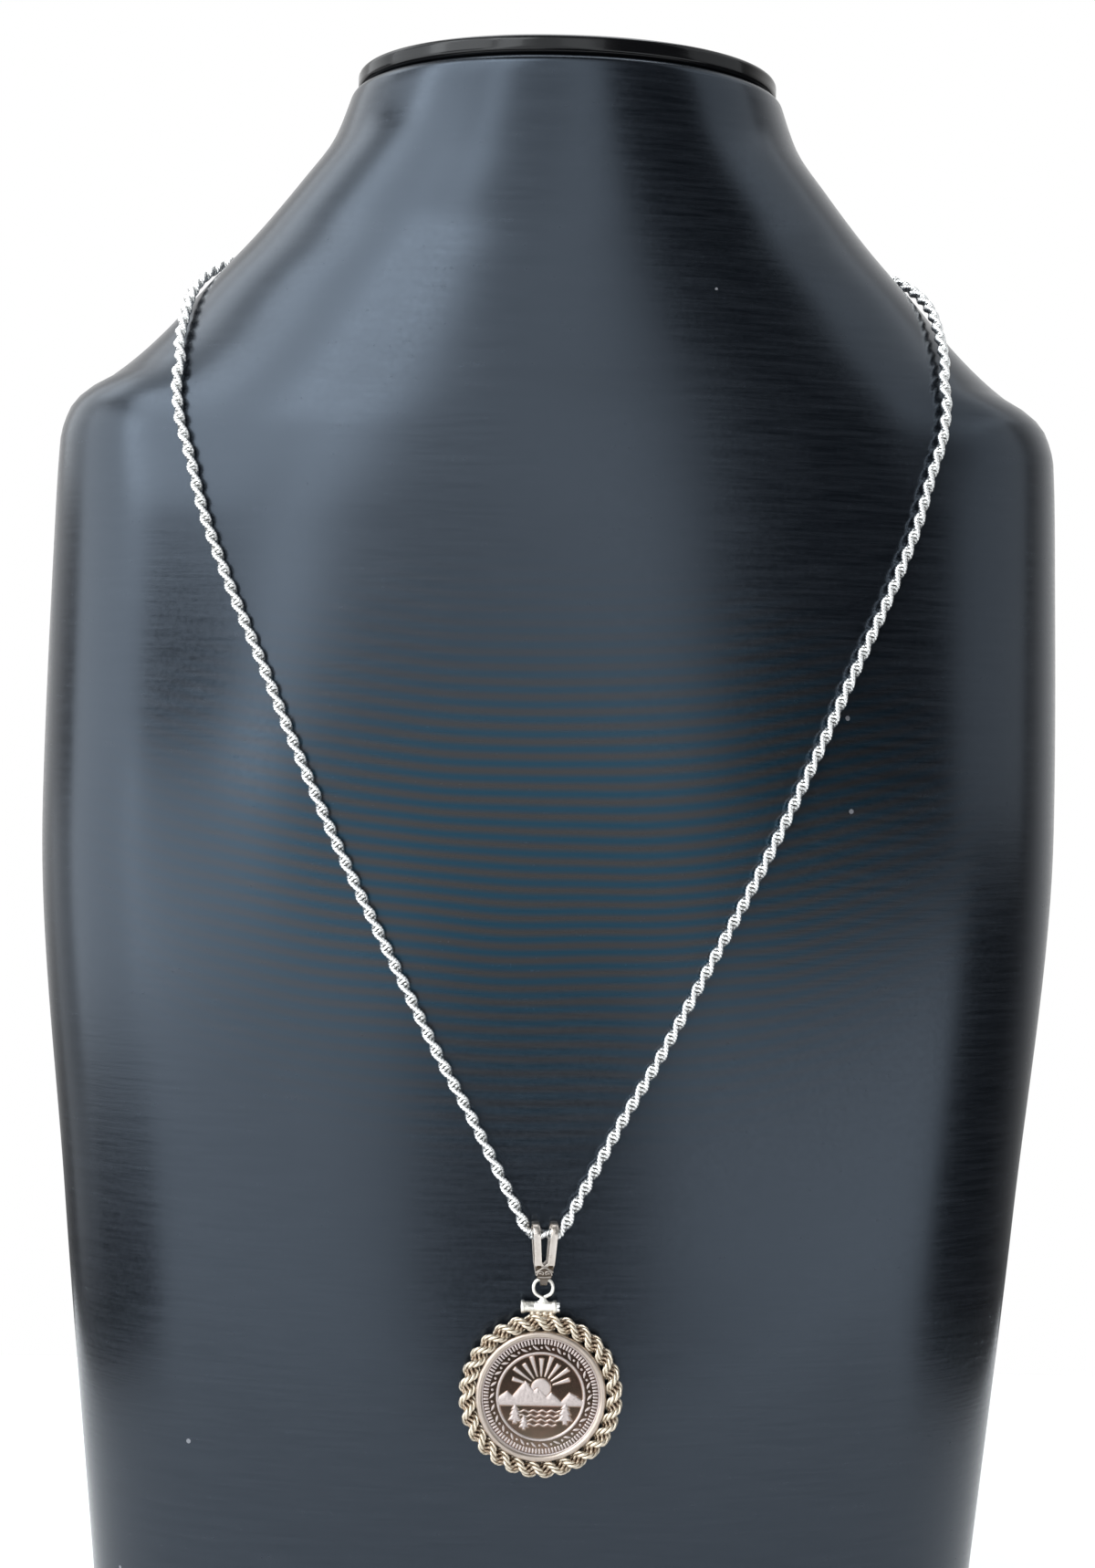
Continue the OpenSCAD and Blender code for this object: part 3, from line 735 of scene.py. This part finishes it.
def make_bail(material):
    """The straps with the yoke's worn relief on their front, turned as the bail hangs."""
    straps = bail_straps()
    dark = []
    for v in straps.data.vertices:
        place = (v.co - HANG) / MM
        depth = min(max((YOKE_TOP - place.z) / 0.5, 0), 1)
        tongue = min(max((YOKE_FOOT - place.z) / 0.3, 0), 1)
        dark.append(0.92 * depth - 0.1 * tongue if place.y < 0 else 0.3 * depth)
    pieces = [set_values(straps, "patina", dark)]
    for line, radius in YOKE_RIDGES:
        path = [on_bail(p.x, p.y, -RIDGE_SINK) for p in smooth_path([(x, up, 0) for x, up in line], 5)]
        pieces.append(set_values(tube("ridge", path, radius * MM, 8), "patina", 0.35))
    for side in (-1, 1):
        leaf = ball("leaf", on_bail(side * LEAF_X, LEAF_UP), Vector(LEAF_HALF) * MM)
        pieces.append(set_values(leaf, "patina", 1.0))
    made = joined("bail_band", pieces, "patina")
    turned = Matrix.Translation(HANG) @ Matrix.Rotation(BAIL_TURN, 4, "Z") @ Matrix.Translation(-HANG)
    made.data.transform(turned)
    finish_piece(made, "bail", material, sharp=50)


def inside_polygon(x, y, outline):
    """Distance into a polygon in millimetres, 0 outside it."""
    corners = np.array(outline, float)
    inside = np.zeros(x.shape, bool)
    nearest = np.full(x.shape, 1e9)
    for a, b in zip(corners, np.roll(corners, -1, axis=0)):
        run = b - a
        u = np.clip(((x - a[0]) * run[0] + (y - a[1]) * run[1]) / (run @ run), 0, 1)
        nearest = np.minimum(nearest, np.hypot(x - a[0] - u * run[0], y - a[1] - u * run[1]))
        if a[1] != b[1]:
            crosses = (a[1] > y) != (b[1] > y)
            inside ^= crosses & (x < (b[0] - a[0]) * (y - a[1]) / (b[1] - a[1]) + a[0])
    return np.where(inside, nearest, 0)


def raised(depth, kind):
    """Height of a kind of relief whose edge rises softly from where its depth is 0."""
    height, soft = RELIEF[kind]
    u = np.clip(depth / soft, 0, 1)
    return height * u * (2 - u)


def landscape(x, y):
    """Relief of a sun with rays behind mountains, a lake with ripples, and pines."""
    height = raised(SUN_R - np.hypot(x, y - SUN_Y), "sun")
    for i in range(RAY_COUNT):
        turn = radians(180 / (RAY_COUNT + 1) * (i + 1))
        along = x * cos(turn) + (y - SUN_Y) * sin(turn)
        aside = -x * sin(turn) + (y - SUN_Y) * cos(turn)
        height = np.maximum(height, raised(inside_polygon(along, aside, RAYS[i % 2]), "ray"))
    land = inside_polygon(x, y, MOUNTAINS)
    crags = CRAGS * np.sin(5.1 * x + 2.3 * y) * np.sin(3.7 * y - 1.9 * x)
    height = np.where(land > 0, raised(land, "land") + crags * np.clip(land, 0, 1), height)
    for face in PEAK_FACES:
        depth = inside_polygon(x, y, face)
        height = np.maximum(height, np.where(depth > 0, PEAK_LIFT + raised(depth, "peak"), 0))
    for level, half_l, phase in RIPPLES:
        middle = level + RIPPLE_SWAY * np.sin(np.radians(phase + 200 * x))
        depth = np.minimum(RIPPLE_HALF_W - np.abs(y - middle), half_l - np.abs(x))
        height = np.maximum(height, raised(depth, "ripple"))
    for pine_x, pine_y, size in PINES:
        half = [(px * size, py * size) for px, py in PINE_HALF]
        outline = half + [(0, size)] + [(-px, py) for px, py in reversed(half)]
        height = np.maximum(height, raised(inside_polygon(x - pine_x, y - pine_y, outline), "pine"))
    return height * (np.hypot(x, y) < SCENE_R)


def coin_height(radius, turn):
    """Height above the field at a point of the coin's face."""
    height = landscape(radius * np.cos(turn), radius * np.sin(turn))
    from_ring = INNER_RING_W / 2 - np.abs(radius - SCENE_R - INNER_RING_W / 2)
    height = np.maximum(height, raised(from_ring, "ring"))
    return np.maximum(height, raised(radius - (COIN_R - RIM_W), "rim"))


def make_coin(material):
    """The coin with its picture, inner ring and rim in one mesh."""
    inner = np.linspace(0, SCENE_R + INNER_RING_W + 0.1, 92)[1:]
    outer = np.linspace(SCENE_R + INNER_RING_W + 0.3, COIN_R - RIM_W - 0.05, 8)
    radii = np.concatenate([inner, outer, np.linspace(COIN_R - RIM_W, COIN_R, 7)])
    turns = np.arange(COIN_COLUMNS) * tau / COIN_COLUMNS
    height = coin_height(*np.meshgrid(radii, turns, indexing="ij"))
    middle = float(coin_height(np.array([0.001]), np.array([0.0]))[0])
    back = [(COIN_R, -COIN_T / 2), (COIN_R - RIM_W, -COIN_T / 2), (COIN_R - RIM_W - 0.1, -FIELD)]
    flat = np.zeros(COIN_COLUMNS)
    rings = [(r, FIELD, row) for r, row in zip(radii, height)] + [(r, level, flat) for r, level in back]
    points = [on_face(0, 0, FIELD + middle)]
    relief = [middle]
    for r, level, row in rings:
        points += [on_face(r * cos(t), r * sin(t), level + up) for t, up in zip(turns, row)]
        relief += list(row)
    faces = [(0, 1 + k, 1 + (k + 1) % COIN_COLUMNS) for k in range(COIN_COLUMNS)]
    faces += [tuple(1 + i for i in face) for face in ring_faces(len(rings), COIN_COLUMNS)]
    faces.append(tuple(range(len(points) - COIN_COLUMNS, len(points))))
    made = set_values(mesh_object("coin_body", points, faces), "relief", np.array(relief) * RELIEF_SCALE)
    finish_piece(tidy(made), "coin", material, sharp=60)


def ring_tree():
    """Sets a small shape at even steps round the coin's middle, in the coin's plane."""
    tree, value = new_tree("Round The Coin", Int=("Count",), Float=("Radius", "First Turn", "Lean"))
    spots = first(tree, "GeometryNodeMeshLine", {"Count": value["Count"], "Offset": (0, 0, 0)},
                  mode="OFFSET", count_mode="TOTAL")
    number = first(tree, "GeometryNodeInputIndex")
    step = calc(tree, "DIVIDE", tau, value["Count"])
    turn = calc(tree, "ADD", ("MULTIPLY", number, step), value["First Turn"])
    place = first(tree, "CombineXYZ", {
        "X": ("MULTIPLY", ("COSINE", turn), value["Radius"]),
        "Z": ("MULTIPLY", ("SINE", turn), value["Radius"])})
    spread = first(tree, "GeometryNodeSetPosition", {"Geometry": spots, "Position": place})
    facing = first(tree, "FunctionNodeAxisAngleToRotation", {
        "Axis": (0, -1, 0), "Angle": ("ADD", turn, value["Lean"])})
    placed = first(tree, "GeometryNodeInstanceOnPoints", {
        "Points": spread, "Instance": value["Geometry"], "Rotation": facing})
    return end_tree(tree, placed, value["Finish"])


def pillow(name, outline, height, inner):
    """Small raised shape with a flatter top over an outline in millimetres, front to -Y."""
    middle = np.mean(np.array(outline), axis=0)
    rings = []
    for share, level in ((1, -0.1), (1, height * 0.55), ((1 + inner) / 2, height * 0.92), (inner, height)):
        spots = middle + (np.array(outline) - middle) * share
        rings.append([Vector((x, -level, z)) * MM for x, z in spots])
    return loft(name, rings)


def make_coin_border(tree, material):
    """Reeds, leaves and berries between the picture and the rim."""
    half = REED_HALF_W
    reed = [(-0.5, -half), (0.45, -half), (0.5, 0), (0.45, half), (-0.5, half), (-0.56, 0)]
    leaf = arc((0, -0.84), 1.1, 137, 43, 6) + arc((0, 0.84), 1.1, -43, -137, 6)[1:-1]
    berry = arc((0, 0), 0.26, 0, 324, 9)
    rings = [
        (pillow("reed", reed, 0.24, 0.55), REED_COUNT, REED_R, 0.0, 0.0),
        (pillow("leaf", leaf, 0.22, 0.35), LEAF_COUNT, WREATH_R, 0.0, LEAF_LEAN),
        (pillow("berry", berry, 0.2, 0.45), LEAF_COUNT, WREATH_R, pi / LEAF_COUNT, 0.0),
    ]
    copies = [grown(shape, tree, {
        "Count": count, "Radius": radius * MM, "First Turn": start, "Lean": lean, "Finish": material})
        for shape, count, radius, start, lean in rings]
    made = joined("coin_wreath_and_reeds", copies)
    made.data.transform(Matrix.Translation(on_face(0, 0, FIELD)))
    finish_piece(set_values(made, "relief", 2.0), "coin", material, sharp=50)


def shader_group(name, inputs, *outputs):
    """A shader group, the sockets that give its inputs, and those of its results."""
    group = bpy.data.node_groups.new(name, "ShaderNodeTree")
    for socket, default in inputs.items():
        kind = "NodeSocketVector" if isinstance(default, tuple) else "NodeSocketFloat"
        group.interface.new_socket(socket, in_out="INPUT", socket_type=kind).default_value = default
    for socket in outputs:
        group.interface.new_socket(socket, in_out="OUTPUT", socket_type="NodeSocketFloat")
    return group, group.nodes.new("NodeGroupInput").outputs, group.nodes.new("NodeGroupOutput").inputs


def object_place(tree):
    return add(tree, "TexCoord")["Object"]


def ranged(tree, value, low, high, start=0.0, end=1.0, kind="LINEAR"):
    """A number that goes from low to high while a value goes from start to end."""
    return first(tree, "MapRange", {
        "Value": value, "From Min": start, "From Max": end, "To Min": low, "To Max": high},
        interpolation_type=kind)


def grain_group():
    """Fine uneven grain: a height for bump and a 0 to 1 value for colour."""
    inputs = {"Scale": 800.0, "Stretch": (1.0, 1.0, 1.0), "Detail": 3.0}
    group, value, result = shader_group("Fine Grain", inputs, "Height", "Value")
    spot = first(group, "VectorMath", {0: object_place(group), 1: value["Stretch"]},
                 operation="MULTIPLY")
    noise = first(group, "TexNoise", {
        "Vector": spot, "Scale": value["Scale"], "Detail": value["Detail"], "Roughness": 0.6})
    group.links.new(noise, result["Height"])
    group.links.new(ranged(group, noise, 0.0, 1.0, 0.3, 0.7), result["Value"])
    return group


def tarnish_and_shade_group():
    """Dark patina and painted shade that stay in hollows: 1 in a hollow, 0 on what hands polish."""
    inputs = {"Height": 1.0, "Hollow": 0.4, "Polished": 0.9, "Patch Scale": 400.0, "Patchiness": 0.3}
    group, value, result = shader_group("Tarnish And Painted Shade In Hollows", inputs, "Mask")
    patches = first(group, "TexNoise", {
        "Vector": object_place(group), "Scale": value["Patch Scale"], "Detail": 3.0})
    shift = calc(group, "MULTIPLY", ("SUBTRACT", patches, 0.5), value["Patchiness"])
    level = calc(group, "ADD", value["Height"], shift)
    mask = ranged(group, level, 1.0, 0.0, value["Hollow"], value["Polished"], "SMOOTHSTEP")
    group.links.new(mask, result["Mask"])
    return group


def speck_group():
    """A few small specks of dust and scuffs, 0 to 1."""
    group, value, result = shader_group("Specks", {"Scale": 60.0, "Size": 0.06, "Share": 0.25}, "Mask")
    cells = add(group, "TexVoronoi", {"Vector": object_place(group), "Scale": value["Scale"]})
    number = first(group, "SeparateColor", {"Color": cells["Color"]})
    near = calc(group, "LESS_THAN", cells["Distance"], value["Size"])
    few = calc(group, "LESS_THAN", number, value["Share"])
    wire(group, result["Mask"], ("MULTIPLY", near, few))
    return group


def bands_group():
    """Level bands that rise to both sides and fade out round their middle."""
    inputs = {"Spacing": 0.003, "Rise": 1.0, "Middle": (0.0, 0.0, 0.2), "Half Size": (0.07, 1.0, 0.035)}
    group, value, result = shader_group("Level Bands", inputs, "Band", "Mask")
    place = object_place(group)
    spot = first(group, "VectorMath", {0: place, 1: value["Middle"]}, operation="SUBTRACT")
    x, _, z = add(group, "SeparateXYZ", {"Vector": spot})
    sway = first(group, "TexNoise", {"Vector": place, "Scale": 18.0, "Detail": 1.0})
    rise = calc(group, "MULTIPLY", ("MULTIPLY", x, x), value["Rise"])
    level = calc(group, "DIVIDE", ("SUBTRACT", z, rise), value["Spacing"])
    moved = calc(group, "ADD", level, ("MULTIPLY", sway, 2.5))
    wave = calc(group, "SINE", ("MULTIPLY", moved, tau))
    wire(group, result["Band"], ("MULTIPLY_ADD", wave, 0.5, 0.5))
    share = first(group, "VectorMath", {0: spot, 1: value["Half Size"]}, operation="DIVIDE")
    reach = add(group, "VectorMath", {0: share}, operation="LENGTH")["Value"]
    group.links.new(ranged(group, reach, 1.0, 0.0, 0.2, 1.0, "SMOOTHSTEP"), result["Mask"])
    return group


GRAIN = grain_group()
TARNISH_AND_SHADE = tarnish_and_shade_group()
SPECKS = speck_group()
BANDS = bands_group()
MARKS = {"Scale": 1600.0, "Detail": 3.0}
CLOUDS = {"Scale": 260.0, "Detail": 4.0}


def grouped(tree, group, wires):
    """Outputs of a shader group."""
    return add(tree, "Group", wires, node_tree=group)


def new_material(name, **constants):
    """A material with a Principled shader, whose constants are set on its own sockets."""
    material = bpy.data.materials.new(name)
    material.use_nodes = True
    tree = material.node_tree
    shader = tree.nodes["Principled BSDF"]
    for key, value in constants.items():
        shader.inputs[key.replace("_", " ")].default_value = value
    return material, tree, shader


def mixed(tree, factor, a, b):
    """Colour between two, each of them a socket or red, green and blue."""
    a, b = [c if isinstance(c, bpy.types.NodeSocket) else (*c, 1) for c in (a, b)]
    return add(tree, "Mix", {0: factor, 6: a, 7: b}, data_type="RGBA")[2]


def attribute_value(tree, name):
    return add(tree, "Attribute", attribute_name=name)["Fac"]


def dress(tree, shader, color, sheen, roughness, height, strength, distance=0.1 * MM):
    """Wires a shader's colour, its range of roughness and its bump."""
    bump = first(tree, "Bump", {"Height": height, "Strength": strength, "Distance": distance})
    wire(tree, shader.inputs["Base Color"], color)
    wire(tree, shader.inputs["Roughness"], ranged(tree, sheen, *roughness))
    wire(tree, shader.inputs["Normal"], bump)


def vinyl_material():
    """Satin blue-black vinyl with fine streaks, faint level bands of painted blue and brown sheen, and a few
    specks.
    """
    material, tree, shader = new_material(
        "satin_vinyl", Specular_IOR_Level=0.64, Specular_Tint=(0.65, 0.78, 0.955, 1))
    streaks = grouped(tree, GRAIN, {"Scale": 80.0, "Stretch": (0.9, 0.9, 16.0), "Detail": 3.0})
    pores = grouped(tree, GRAIN, {"Scale": 1100.0, "Detail": 1.0})
    dust = grouped(tree, SPECKS, {"Scale": 70.0, "Size": 0.035, "Share": 0.2})
    # Painted sheen: level bands of blue and brown reflection colour on the front of the chest, set in the
    # base colour and, through Metallic, in the reflections.
    sheen_bands = grouped(tree, BANDS, {
        "Spacing": 2.9 * MM, "Rise": 1.8,
        "Middle": (-0.004, -0.045, 0.188), "Half Size": (0.104, 0.06, 0.066)})
    cool = mixed(tree, streaks["Value"], (0.001, 0.0015, 0.0025), (0.0055, 0.0065, 0.0085))
    banded_sheen = mixed(tree, sheen_bands["Band"], (0.0, 0.024, 0.043), (0.026, 0.0215, 0.018))
    # the vinyl's colour with the painted sheen bands laid over the chest
    toned = mixed(tree, sheen_bands["Mask"], cool, banded_sheen)
    wire(tree, shader.inputs["Metallic"], ("MULTIPLY", sheen_bands["Mask"], 0.5))
    spotted = mixed(tree, dust["Mask"], toned, (0.15, 0.15, 0.16))
    sheen = calc(tree, "MULTIPLY_ADD", streaks["Value"], 0.5, ("MULTIPLY", pores["Value"], 0.5))
    height = calc(tree, "MULTIPLY_ADD", pores["Height"], 0.5, streaks["Height"])
    dress(tree, shader, spotted, sheen, (0.2, 0.28), height, 0.03, 0.3 * MM)
    return material


def plate_material():
    """Gloss black plate with a little dust."""
    material, tree, shader = new_material(
        "gloss_black_plate", Specular_IOR_Level=0.22, Coat_Weight=0.12, Coat_Roughness=0.05)
    dust = grouped(tree, SPECKS, {"Scale": 120.0, "Size": 0.05, "Share": 0.15})
    haze = grouped(tree, GRAIN, {"Scale": 90.0, "Detail": 3.0})
    color = mixed(tree, dust["Mask"], (0.003, 0.003, 0.0035), (0.04, 0.04, 0.04))
    dress(tree, shader, color, haze["Value"], (0.12, 0.22), haze["Height"], 0.04, 0.2 * MM)
    return material


def silver(name, colors, roughness, marks=MARKS, strength=0.08, hollows=None, clouds=None, patina=None):
    """Silver of two colours that its hollows (tarnish and painted shade), soft clouds or fine marks bring
    out.
    """
    material, tree, shader = new_material(name, Metallic=1.0)
    fine = grouped(tree, GRAIN, marks)
    share = fine["Value"]
    if hollows:
        share = grouped(tree, TARNISH_AND_SHADE, {"Height": attribute_value(tree, "reach"), **hollows})["Mask"]
    elif clouds:
        share = grouped(tree, GRAIN, clouds)["Value"]
    color = mixed(tree, share, *colors)
    if patina:
        color = mixed(tree, attribute_value(tree, "patina"), color, patina)
    dress(tree, shader, color, fine["Value"], roughness, fine["Height"], strength)
    return material


def coin_material():
    """Brown-toned mirror field with frosted, pale pink relief."""
    material, tree, shader = new_material("coin_silver", Metallic=1.0)
    relief = ranged(tree, attribute_value(tree, "relief"), 0.0, 1.0, 0.15, 0.9)
    toning = grouped(tree, GRAIN, {"Scale": 170.0, "Detail": 3.0})
    frost = grouped(tree, GRAIN, {"Scale": 5200.0, "Detail": 3.0})
    field = mixed(tree, toning["Value"], (0.19, 0.15, 0.11), (0.35, 0.21, 0.16))
    frosted = mixed(tree, frost["Value"], (0.4, 0.345, 0.325), (0.58, 0.51, 0.49))
    color = mixed(tree, relief, field, frosted)
    grains = calc(tree, "MULTIPLY", frost["Height"], relief)
    dress(tree, shader, color, relief, (0.14, 0.46), grains, 0.3, 0.06 * MM)
    return material


# Floor, in metres
FLOOR_HALF = 0.3


def make_floor():
    corners = [(x * FLOOR_HALF, y * FLOOR_HALF, 0) for x, y in ((-1, -1), (1, -1), (1, 1), (-1, 1))]
    floor = mesh_object("floor", corners, [(0, 1, 2, 3)])
    paint(floor, new_material(
        "pale_floor", Specular_IOR_Level=0.2, Base_Color=(0.85, 0.85, 0.85, 1), Roughness=0.8,
        Emission_Color=(1, 1, 1, 1), Emission_Strength=0.1)[0])


# Softboxes round the chest: azimuth from the front (left is negative), elevation and roll in degrees,
# width and height in metres, brightness
STUDIO_MIDDLE = Vector((0, -0.045, 0.2))
STUDIO_REACH = 1.5
SOFTBOXES = {
    "left_window": (-47, 33, 0, 0.85, 0.95, 4.3),
    "left_slant": (-24.5, 18, -20, 0.24, 0.95, 3.7),
    "left_high": (-22, 36, 0, 0.42, 0.34, 3.8),
    "left_bar": (-42, -1, 8, 0.95, 0.38, 3.1),
    "left_flank": (-75, 10, 0, 1.05, 1.3, 3.2),
    "left_back": (-112, 32, 0, 0.9, 1.1, 1.5),
    "left_low_back": (-105, -10, 0, 0.8, 0.5, 0.7),
    "left_top": (-80, 50, 0, 1.3, 0.6, 2.0),
    "front_panel": (-8, 20, 4, 1.05, 1.6, 1.42),
    "front_strip": (7, 14, 18, 0.25, 1.0, 0.8),
    "low_left": (-32, -15, 0, 1.3, 0.5, 2.0),
    "low_right": (34, -14, 0, 1.4, 0.4, 2.2),
    "right_side": (72, 20, 0, 1.0, 1.2, 1.0),
    "right_top": (82, 50, 0, 1.2, 0.6, 0.95),
    "top_softbox": (0, 100, 0, 0.9, 0.9, 4.0),
}
SOFTBOX_COLOR = (0.93, 0.97, 1.0)
BACKDROP_BRIGHTNESS = 1.0
ROOM_BRIGHTNESS = 0.045


def make_lights():
    """Softboxes that face the chest, and a studio that is bright only behind the bust."""
    for name, (azimuth, elevation, roll, width, height, brightness) in SOFTBOXES.items():
        turn, lift = radians(azimuth), radians(elevation)
        away = Vector((sin(turn) * cos(lift), -cos(turn) * cos(lift), sin(lift)))
        data = with_settings(
            bpy.data.lights.new(name, "AREA"), shape="RECTANGLE", size=width, size_y=height,
            energy=brightness * pi * width * height, color=SOFTBOX_COLOR)
        facing = away.to_track_quat("Z", "Y").to_matrix() @ Matrix.Rotation(radians(roll), 3, "Z")
        place = Matrix.Translation(STUDIO_MIDDLE + away * STUDIO_REACH)
        new_object(name, data).matrix_world = place @ facing.to_4x4()
    world = bpy.data.worlds.new("studio")
    scene.world = world
    world.use_nodes = True
    tree = world.node_tree
    tree.nodes.clear()
    way = add(tree, "TexCoord")["Generated"]
    _, y, z = add(tree, "SeparateXYZ", {"Vector": way})
    back = ranged(tree, y, 0.0, 1.0, -0.15, 0.6, "SMOOTHSTEP")
    above = ranged(tree, z, 0.0, 1.0, -0.3, 0.0, "SMOOTHSTEP")
    level = ranged(tree, ("MULTIPLY", back, above), ROOM_BRIGHTNESS, BACKDROP_BRIGHTNESS)
    white = (1, 1, 1, 1)
    lit, seen = [first(tree, "Background", {"Color": white, "Strength": power}) for power in (level, 1.0)]
    for_camera = add(tree, "LightPath")["Is Camera Ray"]
    both = first(tree, "MixShader", {0: for_camera, 1: lit, 2: seen})
    add(tree, "OutputWorld", {"Surface": both}, is_active_output=True)


# Camera, in metres and degrees: a little left of the middle, level, looking slightly right
CAMERA_PLACE = (-0.011, -0.495, 0.203)
CAMERA_YAW = -1.2
CAMERA_ROLL = 1.4
PHOTO_HEIGHT = 1718
FOCAL_PIXELS = 2500
SENSOR = 36.0


def make_camera():
    lens = FOCAL_PIXELS / PHOTO_HEIGHT * SENSOR
    camera = new_object("camera", with_settings(
        bpy.data.cameras.new("camera"), sensor_width=SENSOR, lens=lens, clip_start=0.01, clip_end=20))
    level = Euler((pi / 2, 0, radians(CAMERA_YAW))).to_matrix()
    turn = level @ Matrix.Rotation(radians(CAMERA_ROLL), 3, "Z")
    camera.matrix_world = Matrix.Translation(CAMERA_PLACE) @ turn.to_4x4()
    scene.camera = camera


make_camera()
make_lights()
make_floor()

# Chain silver: its darker grey in the links' hollows is painted shade, with a little tarnish.
bright_silver = silver(
    "bright_silver", ((0.89, 0.89, 0.88), (0.55, 0.54, 0.52)), (0.24, 0.34),
    {"Scale": 2500.0, "Detail": 2.0}, 0.03,
    {"Hollow": 0.1, "Polished": 0.8, "Patch Scale": 700.0, "Patchiness": 0.25})
# Rope border silver: its dark brown in the hollows between lobes is tarnish and painted shade.
aged_rope = silver(
    "aged_rope_silver", ((0.66, 0.58, 0.47), (0.24, 0.165, 0.11)), (0.3, 0.46),
    {"Scale": 1800.0, "Detail": 3.0}, 0.12,
    {"Hollow": 0.35, "Polished": 0.85, "Patch Scale": 600.0, "Patchiness": 0.5})
warm_silver = silver(
    "worn_bezel_silver", ((0.5, 0.425, 0.37), (0.385, 0.32, 0.27)), (0.28, 0.4), clouds=CLOUDS)
white_silver = silver(
    "worn_loop_silver", ((0.88, 0.86, 0.81), (0.74, 0.7, 0.63)), (0.34, 0.48), clouds=CLOUDS)
bail_silver = silver(
    "worn_bail_silver", ((0.64, 0.59, 0.55), (0.5, 0.44, 0.38)), (0.26, 0.4), clouds=CLOUDS,
    patina=(0.045, 0.03, 0.018))
plain_silver = silver(
    "plain_silver", ((0.86, 0.85, 0.82), (0.93, 0.92, 0.9)), (0.18, 0.34),
    {"Scale": 500.0, "Stretch": (1.0, 1.0, 6.0), "Detail": 4.0})
coin_silver = coin_material()

link_rope = rope_tree()
make_bust(vinyl_material(), plate_material())
make_chain(link_rope, bright_silver)
make_border(link_rope, aged_rope)
make_foot(aged_rope)
make_bezel_ring(warm_silver)
make_barrel_and_loop(white_silver)
make_bail(bail_silver)
make_coin(coin_silver)
make_coin_border(ring_tree(), coin_silver)
for name in ("clasp", "screw"):
    paint(frame["nodes"][name], plain_silver)

scene.view_settings.view_transform = "Standard"
scene.view_settings.look = "None"
